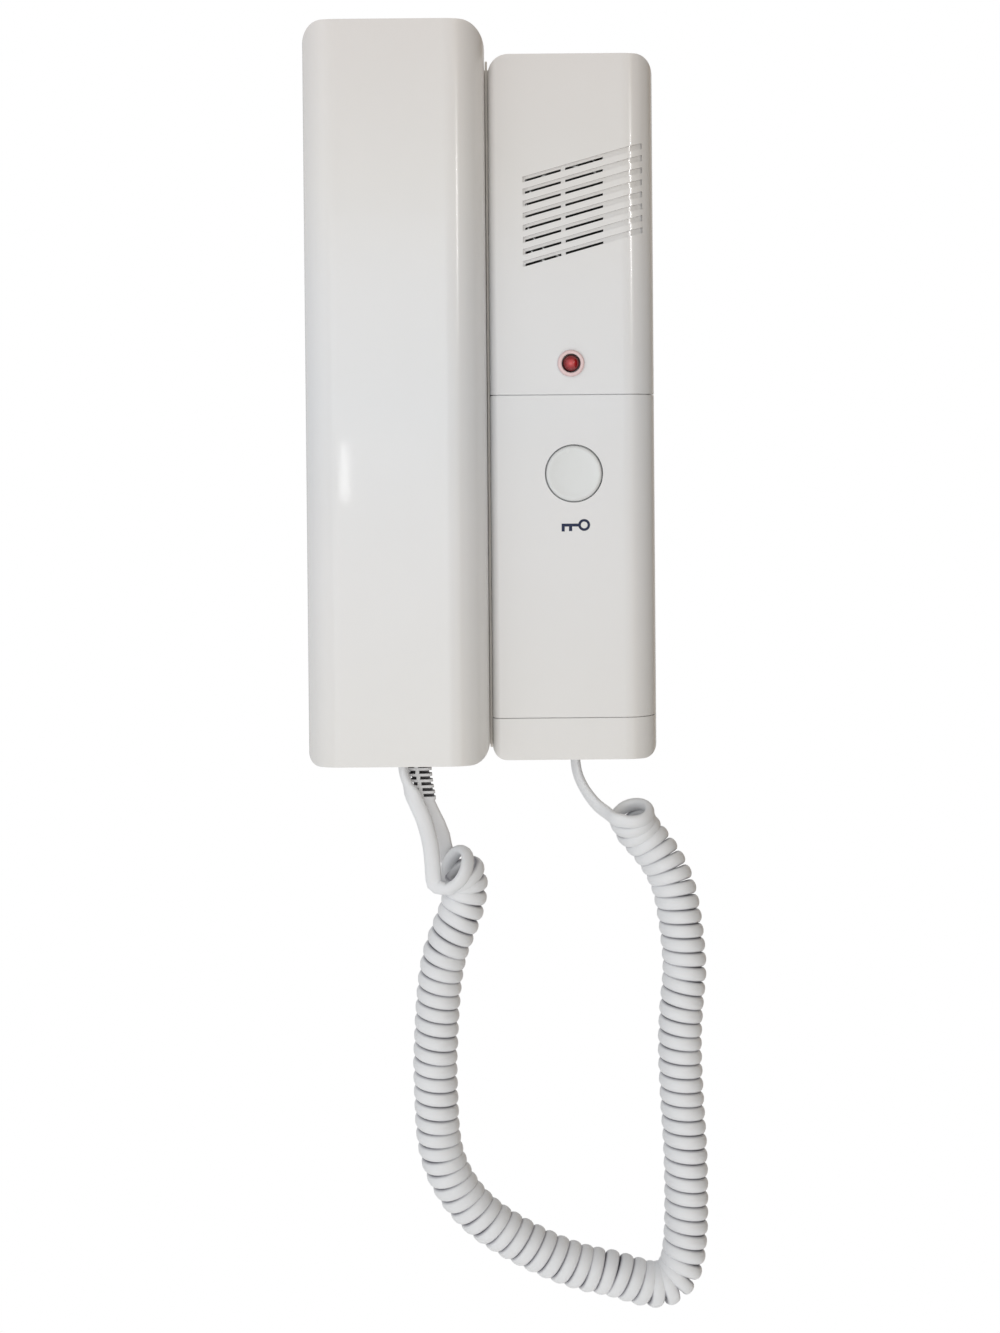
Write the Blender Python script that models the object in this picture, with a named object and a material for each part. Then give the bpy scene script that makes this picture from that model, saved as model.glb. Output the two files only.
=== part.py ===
"""Wall door handset: a slim handset on a cradle, a base tower beside it and a curly cord.

The script works in millimetres and makes objects in metres, +Z up. The wall is the plane
y = 0 and the phone stands out of it towards -Y. The origin is the middle of the rear
housing's wall face, and X runs to the right of a person who faces the phone.
"""

import math

import bmesh
import bpy
from mathutils import Vector

MM = 0.001
GAP = 0.3

# Base tower
TOWER_LEFT = 3.0
TOWER_RIGHT = 51.2
TOWER_FRONT = -34.0
TOWER_FILLET = 9.75
TOWER_TOP = 102.2
TOWER_BOTTOM = -102.2
WALL = 2.0
COVER_BACK = -6.0
COVER_SEAM = 3.7
END_SEAM = -90.0

# Cradle and rear housing
CRADLE_LEFT = -47.0
CRADLE_FRONT = -14.0
CRADLE_TOP = 101.3
CRADLE_BOTTOM = -100.3
CRADLE_RIGHT = TOWER_LEFT + WALL
HOUSING_RIGHT = 50.7
FLOOR_FRONT = -2.0
RIM_FRONT = -5.7
KEYHOLE_X = -10.0
KEYHOLES = (76.0, -78.0)
WINDOW_LOW = (20.0, -84.0)
WINDOW_HIGH = (36.0, -68.0)

# Handset
HANDSET_LEFT = -50.1
HANDSET_RIGHT = 2.1
HANDSET_FRONT = -46.5
HANDSET_BACK = -20.0
HANDSET_PART = -33.0
HANDSET_TOP = 110.0
HANDSET_BOTTOM = -102.0
HANDSET_MID = -24.0
EAR_Z = 78.0
EAR_RADIUS = 17.0
MOUTH_Z = -78.0
MOUTH_RADIUS = 15.0
BOSS_BACK = -14.5
HANDSET_SCREWS = (35.0, -28.0)

# Door button, lamp, grille and speaker
BUTTON_X = 27.1
BUTTON_Z = -19.1
BUTTON_RADIUS = 8.05
BUTTON_HOLE = 8.5
LAMP_X = 26.5
LAMP_Z = 12.8
GRILLE_X = 24.5
SPEAKER_X = 27.1
SPEAKER_Z = 56.8
SLOT_COLUMNS = ((13.0, 24.1), (25.4, 36.0))
SLOT_ROWS = 8
SLOT_PITCH = 3.48
SLOT_HEIGHT = 0.9
SLOT_SLOPE = math.radians(15.7)

# Circuit board, terminals and hook switch
BOARD_FRONT = -16.6
BOARD_BACK = -15.0
BOARD_LOW = (7.0, -62.0)
BOARD_HIGH = (47.0, 32.0)
POSTS = ((11.0, -58.0), (43.0, -58.0), (11.0, 28.0), (43.0, 28.0))
BOARD_SCREWS = ((43.0, -58.0), (11.0, 28.0))
TERMINAL_X = (17.2, 23.4, 29.6, 35.8)
TERMINAL_Z = -51.0
LEVER_X = -24.0
LEVER_Y = -7.0
LEVER_Z = 28.0
HOOK_PLUNGER_Z = 39.5

# Cord: the route of its two leads and of the coil's middle line
CORD_RADIUS = 2.1
COIL_RADIUS = 6.5
BASE_LEAD = (
    (27.8, -12.0, -86.0),
    (27.8, -12.0, -95.0),
    (27.8, -12.0, -104.0),
    (28.5, -12.0, -109.6),
    (31.0, -12.4, -114.5),
    (35.3, -12.9, -117.9),
    (39.3, -13.4, -119.1),
    (42.2, -13.9, -121.6),
)
COIL = (
    (44.2, -14.0, -121.0),
    (48.6, -14.0, -126.7),
    (52.2, -14.0, -133.4),
    (55.0, -14.0, -138.6),
    (56.9, -14.0, -143.4),
    (58.3, -14.0, -150.0),
    (59.4, -14.4, -158.5),
    (60.0, -14.7, -168.5),
    (58.9, -15.0, -180.5),
    (58.4, -15.2, -192.0),
    (58.9, -15.5, -207.0),
    (59.7, -16.0, -222.0),
    (60.3, -16.2, -237.0),
    (60.0, -16.5, -250.0),
    (58.9, -16.7, -258.5),
    (55.6, -17.0, -263.2),
    (50.4, -17.2, -264.2),
    (44.8, -17.5, -262.6),
    (37.3, -18.0, -259.6),
    (29.4, -18.5, -257.0),
    (20.9, -19.0, -253.8),
    (13.1, -19.3, -250.0),
    (5.2, -19.6, -245.4),
    (-1.0, -20.0, -240.8),
    (-6.3, -20.2, -235.3),
    (-10.4, -20.6, -228.8),
    (-13.0, -21.0, -222.0),
    (-14.2, -21.3, -215.0),
    (-14.6, -21.7, -207.5),
    (-14.9, -22.2, -194.4),
    (-14.6, -22.6, -187.0),
    (-14.1, -23.0, -178.0),
    (-13.2, -23.5, -168.5),
    (-11.7, -24.1, -160.7),
    (-9.3, -24.7, -154.0),
    (-6.9, -25.0, -148.5),
    (-5.7, -25.7, -142.6),
    (-5.9, -26.5, -137.8),
    (-8.3, -27.0, -134.2),
)
HANDSET_LEAD = (
    (-10.4, -27.3, -135.0),
    (-13.4, -28.3, -130.8),
    (-15.5, -29.5, -126.0),
    (-17.3, -30.5, -120.5),
    (-19.3, -30.7, -115.4),
    (-21.6, -30.7, -110.4),
    (-23.1, -30.6, -106.0),
    (-23.4, -30.5, -101.0),
    (-23.4, -30.5, -94.0),
)
BOOT = (
    (-19.2, -26.2, -102.3, 3.7, 2.0),
    (-18.6, -26.2, -107.0, 3.4, 1.9),
    (-17.4, -26.2, -111.0, 3.0, 1.8),
    (-16.1, -26.2, -114.2, 2.6, 1.8),
    (-15.2, -26.2, -115.8, 1.5, 1.4),
    (-13.8, -26.2, -118.6, 1.4, 1.4),
    (-12.4, -26.2, -122.0, 1.4, 1.4),
    (-11.1, -26.2, -125.4, 1.4, 1.4),
)


def clear_scene():
    """Remove every object from the scene."""
    for old in list(bpy.data.objects):
        bpy.data.objects.remove(old, do_unlink=True)


def finish(name, color, roughness, metallic=0.0):
    """Return a Principled material with the given looks."""
    mat = bpy.data.materials.new(name)
    mat.use_nodes = True
    shader = mat.node_tree.nodes["Principled BSDF"]
    shader.inputs["Base Color"].default_value = (*color, 1.0)
    shader.inputs["Roughness"].default_value = roughness
    shader.inputs["Metallic"].default_value = metallic
    return mat


def new_object(name, bm, mat, origin=(0.0, 0.0, 0.0)):
    """Turn millimetre geometry into an object in metres, with its own origin at `origin`."""
    bmesh.ops.recalc_face_normals(bm, faces=bm.faces)
    shift = Vector(origin)
    for vert in bm.verts:
        vert.co = (vert.co - shift) * MM
    mesh = bpy.data.meshes.new(name)
    bm.to_mesh(mesh)
    bm.free()
    mesh.shade_smooth()
    mesh.set_sharp_from_angle(angle=math.radians(35))
    obj = bpy.data.objects.new(name, mesh)
    obj.location = shift * MM
    bpy.context.collection.objects.link(obj)
    obj.data.materials.append(mat)
    return obj


def combine(target, bm, operation):
    """Join closed geometry to an object, or cut it away, with a Boolean that is applied."""
    tool = new_object("tool", bm, target.data.materials[0], target.location / MM)
    mod = target.modifiers.new("combine", "BOOLEAN")
    mod.operation = operation
    mod.solver = "EXACT"
    mod.object = tool
    graph = bpy.context.evaluated_depsgraph_get()
    result = bpy.data.meshes.new_from_object(target.evaluated_get(graph))
    target.modifiers.remove(mod)
    old = target.data
    result.name = old.name
    target.data = result
    bpy.data.meshes.remove(old)
    bpy.data.objects.remove(tool, do_unlink=True)


def add_loft(bm, sections, closed=False):
    """Skin loops that have the same number of points, with flat end caps unless closed."""
    rings = [[bm.verts.new(p) for p in ring] for ring in sections]
    count = len(rings[0])
    pairs = list(zip(rings, rings[1:]))
    if closed:
        pairs.append((rings[-1], rings[0]))
    for low, high in pairs:
        for i in range(count):
            j = (i + 1) % count
            bm.faces.new((low[i], low[j], high[j], high[i]))
    if not closed:
        bm.faces.new(rings[0])
        bm.faces.new(rings[-1])


def add_box(bm, x0, x1, y0, y1, z0, z1):
    """Add a closed box between its limits along X, Y and Z."""
    add_loft(bm, [[(x0, y0, z), (x1, y0, z), (x1, y1, z), (x0, y1, z)] for z in (z0, z1)])


def add_turned(bm, x, z, profile, sides=24, hollow=False):
    """Turn (radius, y) points about an axis along Y through (x, z)."""
    rings = []
    for radius, y in profile:
        angles = [2 * math.pi * (k + 0.5) / sides for k in range(sides)]
        rings.append([(x + radius * math.cos(a), y, z + radius * math.sin(a)) for a in angles])
    add_loft(bm, rings, closed=hollow)


def add_bar(bm, x0, x1, z_mid, y0, y1):
    """Add a slanted slot-shaped bar that runs through from y0 to y1."""
    half = (x1 - x0) / 2
    rise = math.tan(SLOT_SLOPE) * half
    up = SLOT_HEIGHT / 2
    corners = ((x0, z_mid - rise - up), (x1, z_mid + rise - up), (x1, z_mid + rise + up), (x0, z_mid - rise + up))
    add_loft(bm, [[(x, y, z) for x, z in corners] for y in (y0, y1)])


def arc(cx, cy, radius, start, end, steps):
    """Return the points of an arc, with its angles in degrees."""
    angles = [math.radians(start + (end - start) * k / steps) for k in range(steps + 1)]
    return [(cx + radius * math.cos(a), cy + radius * math.sin(a)) for a in angles]


def front_profile(left, right, front, back, left_fillet, right_fillet, steps=6):
    """Return an outline with two rounded front edges, from back left round to back right."""
    points = [(left, back)]
    points += arc(left + left_fillet, front + left_fillet, left_fillet, 180, 270, steps)
    points += arc(right - right_fillet, front + right_fillet, right_fillet, 270, 360, steps)
    points.append((right, back))
    return points


def end_levels(low, high, low_round, high_round, steps=4):
    """Return (z, inset) pairs that round the corners of a long face at its two ends."""
    quarter = [math.radians(90 * k / steps) for k in range(steps + 1)]
    levels = [(low, 0.0)]
    if low_round:
        levels = [(low + low_round * (1 - math.sin(a)), low_round * (1 - math.cos(a))) for a in reversed(quarter)]
    if high_round:
        return levels + [
            (high - high_round * (1 - math.sin(a)), high_round * (1 - math.cos(a))) for a in quarter
        ]
    return levels + [(high, 0.0)]


def add_column(bm, outline, levels, left, right):
    """Raise an outline through (z, inset) levels, drawing its sides in by each inset."""
    sections = []
    for z, inset in levels:
        low, high = left + inset, right - inset
        sections.append([(min(max(x, low), high), y, z) for x, y in outline])
    add_loft(bm, sections)


def add_helix(bm, x, z, y0, y1, radius, wire, turns, steps=12, sides=6):
    """Add a compression spring's wire about an axis along Y."""
    sections = []
    total = turns * steps
    for k in range(total + 1):
        a = 2 * math.pi * k / steps
        y = y0 + wire + (y1 - y0 - 2 * wire) * k / total
        ring = []
        for n in range(sides):
            b = 2 * math.pi * n / sides
            r = radius + wire * math.cos(b)
            ring.append((x + r * math.cos(a), y + wire * math.sin(b), z + r * math.sin(a)))
        sections.append(ring)
    add_loft(bm, sections)


def smooth_route(points, spacing):
    """Return evenly spaced points on a smooth curve through the route's own points."""
    knots = [Vector(p) for p in points]
    knots = [2 * knots[0] - knots[1]] + knots + [2 * knots[-1] - knots[-2]]
    fine = []
    for p0, p1, p2, p3 in zip(knots, knots[1:], knots[2:], knots[3:]):
        for k in range(20):
            t = k / 20
            a = 2 * p1 + (p2 - p0) * t
            b = (2 * p0 - 5 * p1 + 4 * p2 - p3) * t * t
            c = (3 * p1 - p0 - 3 * p2 + p3) * t * t * t
            fine.append((a + b + c) / 2)
    fine.append(knots[-2])
    lengths = [0.0]
    for a, b in zip(fine, fine[1:]):
        lengths.append(lengths[-1] + (b - a).length)
    count = max(2, round(lengths[-1] / spacing))
    even = []
    at = 0
    for k in range(count + 1):
        want = lengths[-1] * k / count
        while at < len(fine) - 2 and lengths[at + 1] < want:
            at += 1
        t = (want - lengths[at]) / (lengths[at + 1] - lengths[at])
        even.append(fine[at].lerp(fine[at + 1], t))
    return even


def cord_tube(name, points, radius, resolution, mat):
    """Make a curve tube with filled ends along points in millimetres."""
    curve = bpy.data.curves.new(name, "CURVE")
    curve.dimensions = "3D"
    curve.bevel_depth = radius * MM
    curve.bevel_resolution = resolution
    curve.use_fill_caps = True
    spline = curve.splines.new("POLY")
    spline.points.add(len(points) - 1)
    for knot, p in zip(spline.points, points):
        knot.co = (p.x * MM, p.y * MM, p.z * MM, 1.0)
    obj = bpy.data.objects.new(name, curve)
    bpy.context.collection.objects.link(obj)
    curve.materials.append(mat)
    return obj


def tower_outline(inset, left_back, right_back, left_step=None):
    """Return the tower's outline, drawn in by `inset`; a step lets the left wall end early."""
    outline = front_profile(
        TOWER_LEFT + inset,
        TOWER_RIGHT - inset,
        TOWER_FRONT + inset,
        left_back,
        TOWER_FILLET - inset,
        TOWER_FILLET - inset,
    )
    outline[-1] = (TOWER_RIGHT - inset, right_back)
    if left_step:
        outline += [(left_step, right_back), (left_step, left_back)]
    return outline


def tower_inner(z0, z1):
    """Return the hollow inside the tower between two heights."""
    bm = bmesh.new()
    outline = tower_outline(WALL, 0.0, 0.0)
    add_column(bm, outline, [(z0, 0.0), (z1, 0.0)], TOWER_LEFT, TOWER_RIGHT)
    return bm


def rear_housing(mat):
    """Tray on the wall: floor, rim, board posts, lever ears, keyholes and cable window."""
    bm = bmesh.new()
    add_box(bm, CRADLE_LEFT, HOUSING_RIGHT, RIM_FRONT, 0.0, CRADLE_BOTTOM, CRADLE_TOP)
    obj = new_object("rear_housing", bm, mat)
    bm = bmesh.new()
    add_box(
        bm,
        CRADLE_LEFT + WALL,
        HOUSING_RIGHT - WALL,
        RIM_FRONT - 1.0,
        FLOOR_FRONT,
        CRADLE_BOTTOM + WALL,
        CRADLE_TOP - WALL,
    )
    combine(obj, bm, "DIFFERENCE")
    bm = bmesh.new()
    for x, z in POSTS:
        add_turned(bm, x, z, [(3.0, BOARD_BACK + GAP), (3.0, -1.0)], 12)
    for side in (-1, 1):
        near = LEVER_X + side * 3.6
        far = LEVER_X + side * 5.2
        low, high = min(near, far), max(near, far)
        add_box(bm, low, high, LEVER_Y - 2.4, -1.0, LEVER_Z - 2.6, LEVER_Z + 2.6)
    combine(obj, bm, "UNION")
    bm = bmesh.new()
    for x, z in BOARD_SCREWS:
        add_turned(bm, x, z, [(1.5, BOARD_BACK - 1.0), (1.5, -7.5)], 12)
    pin = arc(LEVER_Y, LEVER_Z, 1.3, 0, 330, 11)
    add_loft(bm, [[(x, y, z) for y, z in pin] for x in (LEVER_X - 6.0, LEVER_X + 6.0)])
    for z in KEYHOLES:
        head = arc(KEYHOLE_X, z, 4.2, 125, 415, 20)
        slot = [(KEYHOLE_X + 2.5, z + 9.0), (KEYHOLE_X - 2.5, z + 9.0)]
        add_loft(bm, [[(x, y, up) for x, up in head + slot] for y in (-3.0, 1.0)])
    add_box(bm, WINDOW_LOW[0], WINDOW_HIGH[0], -3.0, 1.0, WINDOW_LOW[1], WINDOW_HIGH[1])
    combine(obj, bm, "DIFFERENCE")


def cradle_cover(mat):
    """Cradle plate behind the handset with its walls, rest ledge and the tower's bottom end."""
    bm = bmesh.new()
    add_box(bm, CRADLE_LEFT, CRADLE_RIGHT, CRADLE_FRONT, COVER_BACK, CRADLE_BOTTOM, CRADLE_TOP)
    obj = new_object("cradle_cover", bm, mat)
    bm = bmesh.new()
    add_box(
        bm,
        CRADLE_LEFT + WALL,
        CRADLE_RIGHT + 1.0,
        CRADLE_FRONT + WALL,
        COVER_BACK + 1.0,
        CRADLE_BOTTOM + WALL,
        CRADLE_TOP - WALL,
    )
    combine(obj, bm, "DIFFERENCE")
    bm = bmesh.new()
    levels = end_levels(TOWER_BOTTOM, END_SEAM - GAP / 2, 1.8, 0)
    outline = tower_outline(0.0, COVER_BACK, COVER_BACK)
    add_column(bm, outline, levels, TOWER_LEFT, TOWER_RIGHT)
    combine(obj, bm, "UNION")
    bm = bmesh.new()
    inner = tower_outline(WALL, CRADLE_FRONT, 0.0, CRADLE_RIGHT + 1.0)
    add_column(bm, inner, [(CRADLE_BOTTOM, 0.0), (END_SEAM + 1.0, 0.0)], TOWER_LEFT, TOWER_RIGHT)
    combine(obj, bm, "DIFFERENCE")
    bm = bmesh.new()
    add_box(bm, -36.0, -12.0, -19.0, CRADLE_FRONT + 1.0, 57.4, 60.7)
    combine(obj, bm, "UNION")
    bm = bmesh.new()
    add_box(bm, LEVER_X - 3.0, LEVER_X + 3.0, -15.0, -11.0, 31.0, 47.0)
    cord = arc(BASE_LEAD[1][0], -12.0, 2.5, 15, 345, 11)
    add_loft(bm, [[(x, y, z) for x, y in cord] for z in (TOWER_BOTTOM - 1.0, CRADLE_BOTTOM + 1.0)])
    combine(obj, bm, "DIFFERENCE")


def upper_cover(mat):
    """Tower's upper cover: grille slots and lamp hole."""
    bm = bmesh.new()
    outline = tower_outline(0.0, CRADLE_FRONT - GAP, COVER_BACK, CRADLE_RIGHT + GAP)
    levels = end_levels(COVER_SEAM + GAP / 2, TOWER_TOP, 0, 3.5)
    add_column(bm, outline, levels, TOWER_LEFT, TOWER_RIGHT)
    obj = new_object("upper_cover", bm, mat)
    combine(obj, tower_inner(COVER_SEAM - 1.0, TOWER_TOP - WALL), "DIFFERENCE")
    bm = bmesh.new()
    for row in range(SLOT_ROWS):
        z = SPEAKER_Z + SLOT_PITCH * ((SLOT_ROWS - 1) / 2 - row)
        for x0, x1 in SLOT_COLUMNS:
            mid = z + math.tan(SLOT_SLOPE) * ((x0 + x1) / 2 - GRILLE_X)
            add_bar(bm, x0, x1, mid, TOWER_FRONT - 1.0, TOWER_FRONT + WALL + 1.0)
    add_turned(bm, LAMP_X, LAMP_Z, [(3.4, TOWER_FRONT - 1.0), (3.4, TOWER_FRONT + WALL + 1.0)])
    combine(obj, bm, "DIFFERENCE")


def lower_cover(mat):
    """Tower's lower cover between the two seams, with the door button's hole."""
    bm = bmesh.new()
    outline = tower_outline(0.0, CRADLE_FRONT - GAP, COVER_BACK, CRADLE_RIGHT + GAP)
    low, high = END_SEAM + GAP / 2, COVER_SEAM - GAP / 2
    add_column(bm, outline, [(low, 0.0), (high, 0.0)], TOWER_LEFT, TOWER_RIGHT)
    obj = new_object("lower_cover", bm, mat)
    combine(obj, tower_inner(low - 1.0, high + 1.0), "DIFFERENCE")
    bm = bmesh.new()
    hole = [(BUTTON_HOLE, TOWER_FRONT - 1.0), (BUTTON_HOLE, TOWER_FRONT + WALL + 1.0)]
    add_turned(bm, BUTTON_X, BUTTON_Z, hole, 32)
    combine(obj, bm, "DIFFERENCE")


def turned_piece(name, x, z, profile, mat, sides=24, hollow=False):
    """Make one piece turned about an axis along Y."""
    bm = bmesh.new()
    add_turned(bm, x, z, profile, sides, hollow)
    return new_object(name, bm, mat)


def speaker(paper, steel, foam):
    """Call speaker behind the grille: gasket, basket, cone and magnet."""
    x, z = SPEAKER_X, SPEAKER_Z
    ring = [(13.6, -31.7), (16.0, -31.7), (16.0, -30.9), (13.6, -30.9)]
    turned_piece("speaker_gasket", x, z, ring, foam, 28, True)
    basket = [
        (13.2, -30.6),
        (16.4, -30.6),
        (16.4, -29.6),
        (14.4, -29.6),
        (9.2, -23.0),
        (6.0, -23.0),
        (6.0, -24.0),
        (8.6, -24.0),
        (13.2, -29.6),
    ]
    turned_piece("speaker_frame", x, z, basket, steel, 28, True)
    cone = [(0.4, -27.7), (4.5, -26.6), (12.8, -30.2), (12.4, -29.6), (4.3, -26.0), (0.4, -27.1)]
    turned_piece("speaker_cone", x, z, cone, paper, 28)
    turned_piece("speaker_magnet", x, z, [(9.0, -22.7), (9.0, -17.4)], steel, 28)


def lamp(clear, trim, plastic):
    """Indicator lamp in a bezel, on a spacer that stands on the board."""
    x, z = LAMP_X, LAMP_Z
    bezel = [(2.75, -34.9), (3.5, -34.9), (3.9, -34.6), (3.9, -34.3), (3.1, -34.3), (3.1, -31.0), (2.75, -31.0)]
    turned_piece("lamp_bezel", x, z, bezel, trim, 24, True)
    lens = [(0.6, -36.1), (1.6, -35.6), (2.25, -34.8), (2.45, -33.9), (2.45, -30.6), (2.9, -30.6), (2.9, -29.4)]
    turned_piece("lamp_lens", x, z, lens, clear, 20)
    turned_piece("lamp_spacer", x, z, [(2.6, -29.1), (2.6, BOARD_FRONT - GAP)], plastic, 16)


def board_and_terminals(laminate, plastic, steel, chip, can):
    """Circuit board on its posts, with screws, terminal block, chip and capacitor."""
    bm = bmesh.new()
    add_box(bm, BOARD_LOW[0], BOARD_HIGH[0], BOARD_FRONT, BOARD_BACK, BOARD_LOW[1], BOARD_HIGH[1])
    board = new_object("circuit_board", bm, laminate)
    bm = bmesh.new()
    for x, z in BOARD_SCREWS:
        add_turned(bm, x, z, [(1.5, BOARD_FRONT - 1.0), (1.5, BOARD_BACK + 1.0)], 12)
    combine(board, bm, "DIFFERENCE")
    for number, (x, z) in enumerate(BOARD_SCREWS, 1):
        head = BOARD_FRONT - GAP
        profile = [(2.0, head - 1.6), (2.6, head - 1.2), (2.6, head), (1.2, head), (1.2, -8.0)]
        turned_piece("board_screw_%d" % number, x, z, profile, steel, 12)
    bm = bmesh.new()
    add_box(bm, 13.0, 40.0, BOARD_FRONT - GAP - 10.0, BOARD_FRONT - GAP, TERMINAL_Z - 5.0, TERMINAL_Z + 5.0)
    block = new_object("terminal_block", bm, plastic)
    bm = bmesh.new()
    for x in TERMINAL_X:
        add_turned(bm, x, TERMINAL_Z + 1.0, [(2.0, -28.0), (2.0, -23.6)], 12)
    combine(block, bm, "DIFFERENCE")
    bm = bmesh.new()
    for x in TERMINAL_X:
        add_box(bm, x - 1.7, x + 1.7, -22.4, -18.6, TERMINAL_Z - 6.0, TERMINAL_Z)
    combine(block, bm, "DIFFERENCE")
    for number, x in enumerate(TERMINAL_X, 1):
        profile = [(1.7, -26.6), (1.7, -23.9)]
        turned_piece("terminal_screw_%d" % number, x, TERMINAL_Z + 1.0, profile, steel, 12)
    bm = bmesh.new()
    add_box(bm, 33.0, 42.5, -20.4, BOARD_FRONT - GAP, -1.2, 5.2)
    new_object("control_chip", bm, chip)
    turned_piece("line_capacitor", 15.0, -4.0, [(3.5, -27.9), (3.5, BOARD_FRONT - GAP)], can, 16)


def door_switch(plastic, steel, button):
    """Door button with its spring, and the switch on the board that its stem presses."""
    x, z = BUTTON_X, BUTTON_Z
    cap = [
        (7.2, -34.5),
        (7.8, -34.35),
        (BUTTON_RADIUS, -34.0),
        (BUTTON_RADIUS, -31.7),
        (9.3, -31.7),
        (9.3, -30.7),
        (2.0, -30.7),
        (2.0, -22.7),
    ]
    bm = bmesh.new()
    add_turned(bm, x, z, cap, 32)
    new_object("door_button", bm, button, (x, TOWER_FRONT, z))
    bm = bmesh.new()
    add_helix(bm, x, z, -30.4, -21.2, 3.2, 0.3, 4)
    new_object("button_spring", bm, steel, (x, -21.2, z))
    bm = bmesh.new()
    add_box(bm, x - 4.0, x + 4.0, -20.9, BOARD_FRONT - GAP, z - 4.0, z + 4.0)
    body = new_object("door_switch", bm, plastic)
    bm = bmesh.new()
    add_turned(bm, x, z, [(2.0, -22.0), (2.0, -18.0)], 16)
    combine(body, bm, "DIFFERENCE")
    bm = bmesh.new()
    add_turned(bm, x, z, [(1.7, -22.4), (1.7, -19.6)], 16)
    new_object("door_switch_plunger", bm, button, (x, -22.4, z))


def hook_switch(plastic, steel, shell):
    """Cradle switch: lever on a pin, its spring, and a switch with a plunger."""
    x = LEVER_X
    outline = arc(LEVER_Y, LEVER_Z, 2.1, 180, 360, 8)
    outline += [
        (LEVER_Y + 1.0, LEVER_Z + 4.0),
        (LEVER_Y + 1.0, LEVER_Z + 15.0),
        (LEVER_Y - 1.5, LEVER_Z + 15.0),
        (LEVER_Y - 3.0, LEVER_Z + 14.0),
        (-19.0, LEVER_Z + 13.6),
        (-19.6, LEVER_Z + 12.6),
        (-19.6, LEVER_Z + 10.4),
        (-19.0, LEVER_Z + 9.6),
        (LEVER_Y - 1.5, LEVER_Z + 8.6),
        (LEVER_Y - 1.5, LEVER_Z + 3.0),
    ]
    bm = bmesh.new()
    add_loft(bm, [[(at, y, z) for y, z in outline] for at in (x - 2.3, x + 2.3)])
    lever = new_object("hook_lever", bm, shell, (x, LEVER_Y, LEVER_Z))
    bm = bmesh.new()
    bore = arc(LEVER_Y, LEVER_Z, 1.3, 0, 330, 11)
    add_loft(bm, [[(at, y, z) for y, z in bore] for at in (x - 4.0, x + 4.0)])
    combine(lever, bm, "DIFFERENCE")
    bm = bmesh.new()
    pin = arc(LEVER_Y, LEVER_Z, 1.0, 0, 330, 11)
    add_loft(bm, [[(at, y, z) for y, z in pin] for at in (x - 5.6, x + 5.6)])
    new_object("hook_pin", bm, steel)
    bm = bmesh.new()
    add_helix(bm, x, LEVER_Z + 6.0, LEVER_Y + 1.3, FLOOR_FRONT - GAP, 1.4, 0.25, 3)
    new_object("hook_spring", bm, steel, (x, FLOOR_FRONT, LEVER_Z + 6.0))
    bm = bmesh.new()
    add_box(bm, x - 4.0, x + 4.0, -4.8, FLOOR_FRONT - GAP, HOOK_PLUNGER_Z - 3.2, HOOK_PLUNGER_Z + 3.2)
    body = new_object("hook_switch", bm, plastic)
    bm = bmesh.new()
    add_turned(bm, x, HOOK_PLUNGER_Z, [(1.1, -6.0), (1.1, -2.9)], 12)
    combine(body, bm, "DIFFERENCE")
    bm = bmesh.new()
    add_turned(bm, x, HOOK_PLUNGER_Z, [(0.8, -5.7), (0.8, -3.2)], 12)
    new_object("hook_switch_plunger", bm, steel, (x, -5.7, HOOK_PLUNGER_Z))


def cord_clamp(plastic):
    """Block inside the bottom end that grips the cord."""
    x = BASE_LEAD[0][0]
    bm = bmesh.new()
    add_box(bm, x - 6.0, x + 6.0, -17.0, FLOOR_FRONT - GAP, -97.0, -91.0)
    block = new_object("cord_clamp", bm, plastic)
    bm = bmesh.new()
    hole = arc(x, -12.0, 2.5, 15, 345, 11)
    add_loft(bm, [[(at, y, z) for at, y in hole] for z in (-98.0, -90.0)])
    combine(block, bm, "DIFFERENCE")


def handset_outline(inset):
    """Return the outline of the handset's front half, drawn in by `inset`."""
    return front_profile(
        HANDSET_LEFT + inset,
        HANDSET_RIGHT - inset,
        HANDSET_FRONT + inset,
        HANDSET_PART - GAP / 2 + inset,
        8.5 - inset,
        12.0 - inset,
    )


def handset_front(mat):
    """Handset's front shell with two screw posts and two board posts."""
    bm = bmesh.new()
    levels = end_levels(HANDSET_BOTTOM, HANDSET_TOP, 1.8, 3.5)
    add_column(bm, handset_outline(0.0), levels, HANDSET_LEFT, HANDSET_RIGHT)
    obj = new_object("handset_front_shell", bm, mat, (HANDSET_MID, HANDSET_PART, 0.0))
    bm = bmesh.new()
    levels = [(HANDSET_BOTTOM + WALL, 0.0), (HANDSET_TOP - WALL, 0.0)]
    add_column(bm, handset_outline(WALL), levels, HANDSET_LEFT, HANDSET_RIGHT)
    combine(obj, bm, "DIFFERENCE")
    bm = bmesh.new()
    for z in HANDSET_SCREWS:
        add_turned(bm, HANDSET_MID, z, [(3.2, -45.5), (3.2, HANDSET_BACK - WALL - GAP)], 16)
    for z in (-57.0, -43.0):
        add_turned(bm, HANDSET_MID, z, [(2.0, -45.5), (2.0, -38.3)], 12)
    combine(obj, bm, "UNION")
    bm = bmesh.new()
    for z in HANDSET_SCREWS:
        add_turned(bm, HANDSET_MID, z, [(1.5, -36.0), (1.5, -21.0)], 12)
    combine(obj, bm, "DIFFERENCE")


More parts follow.
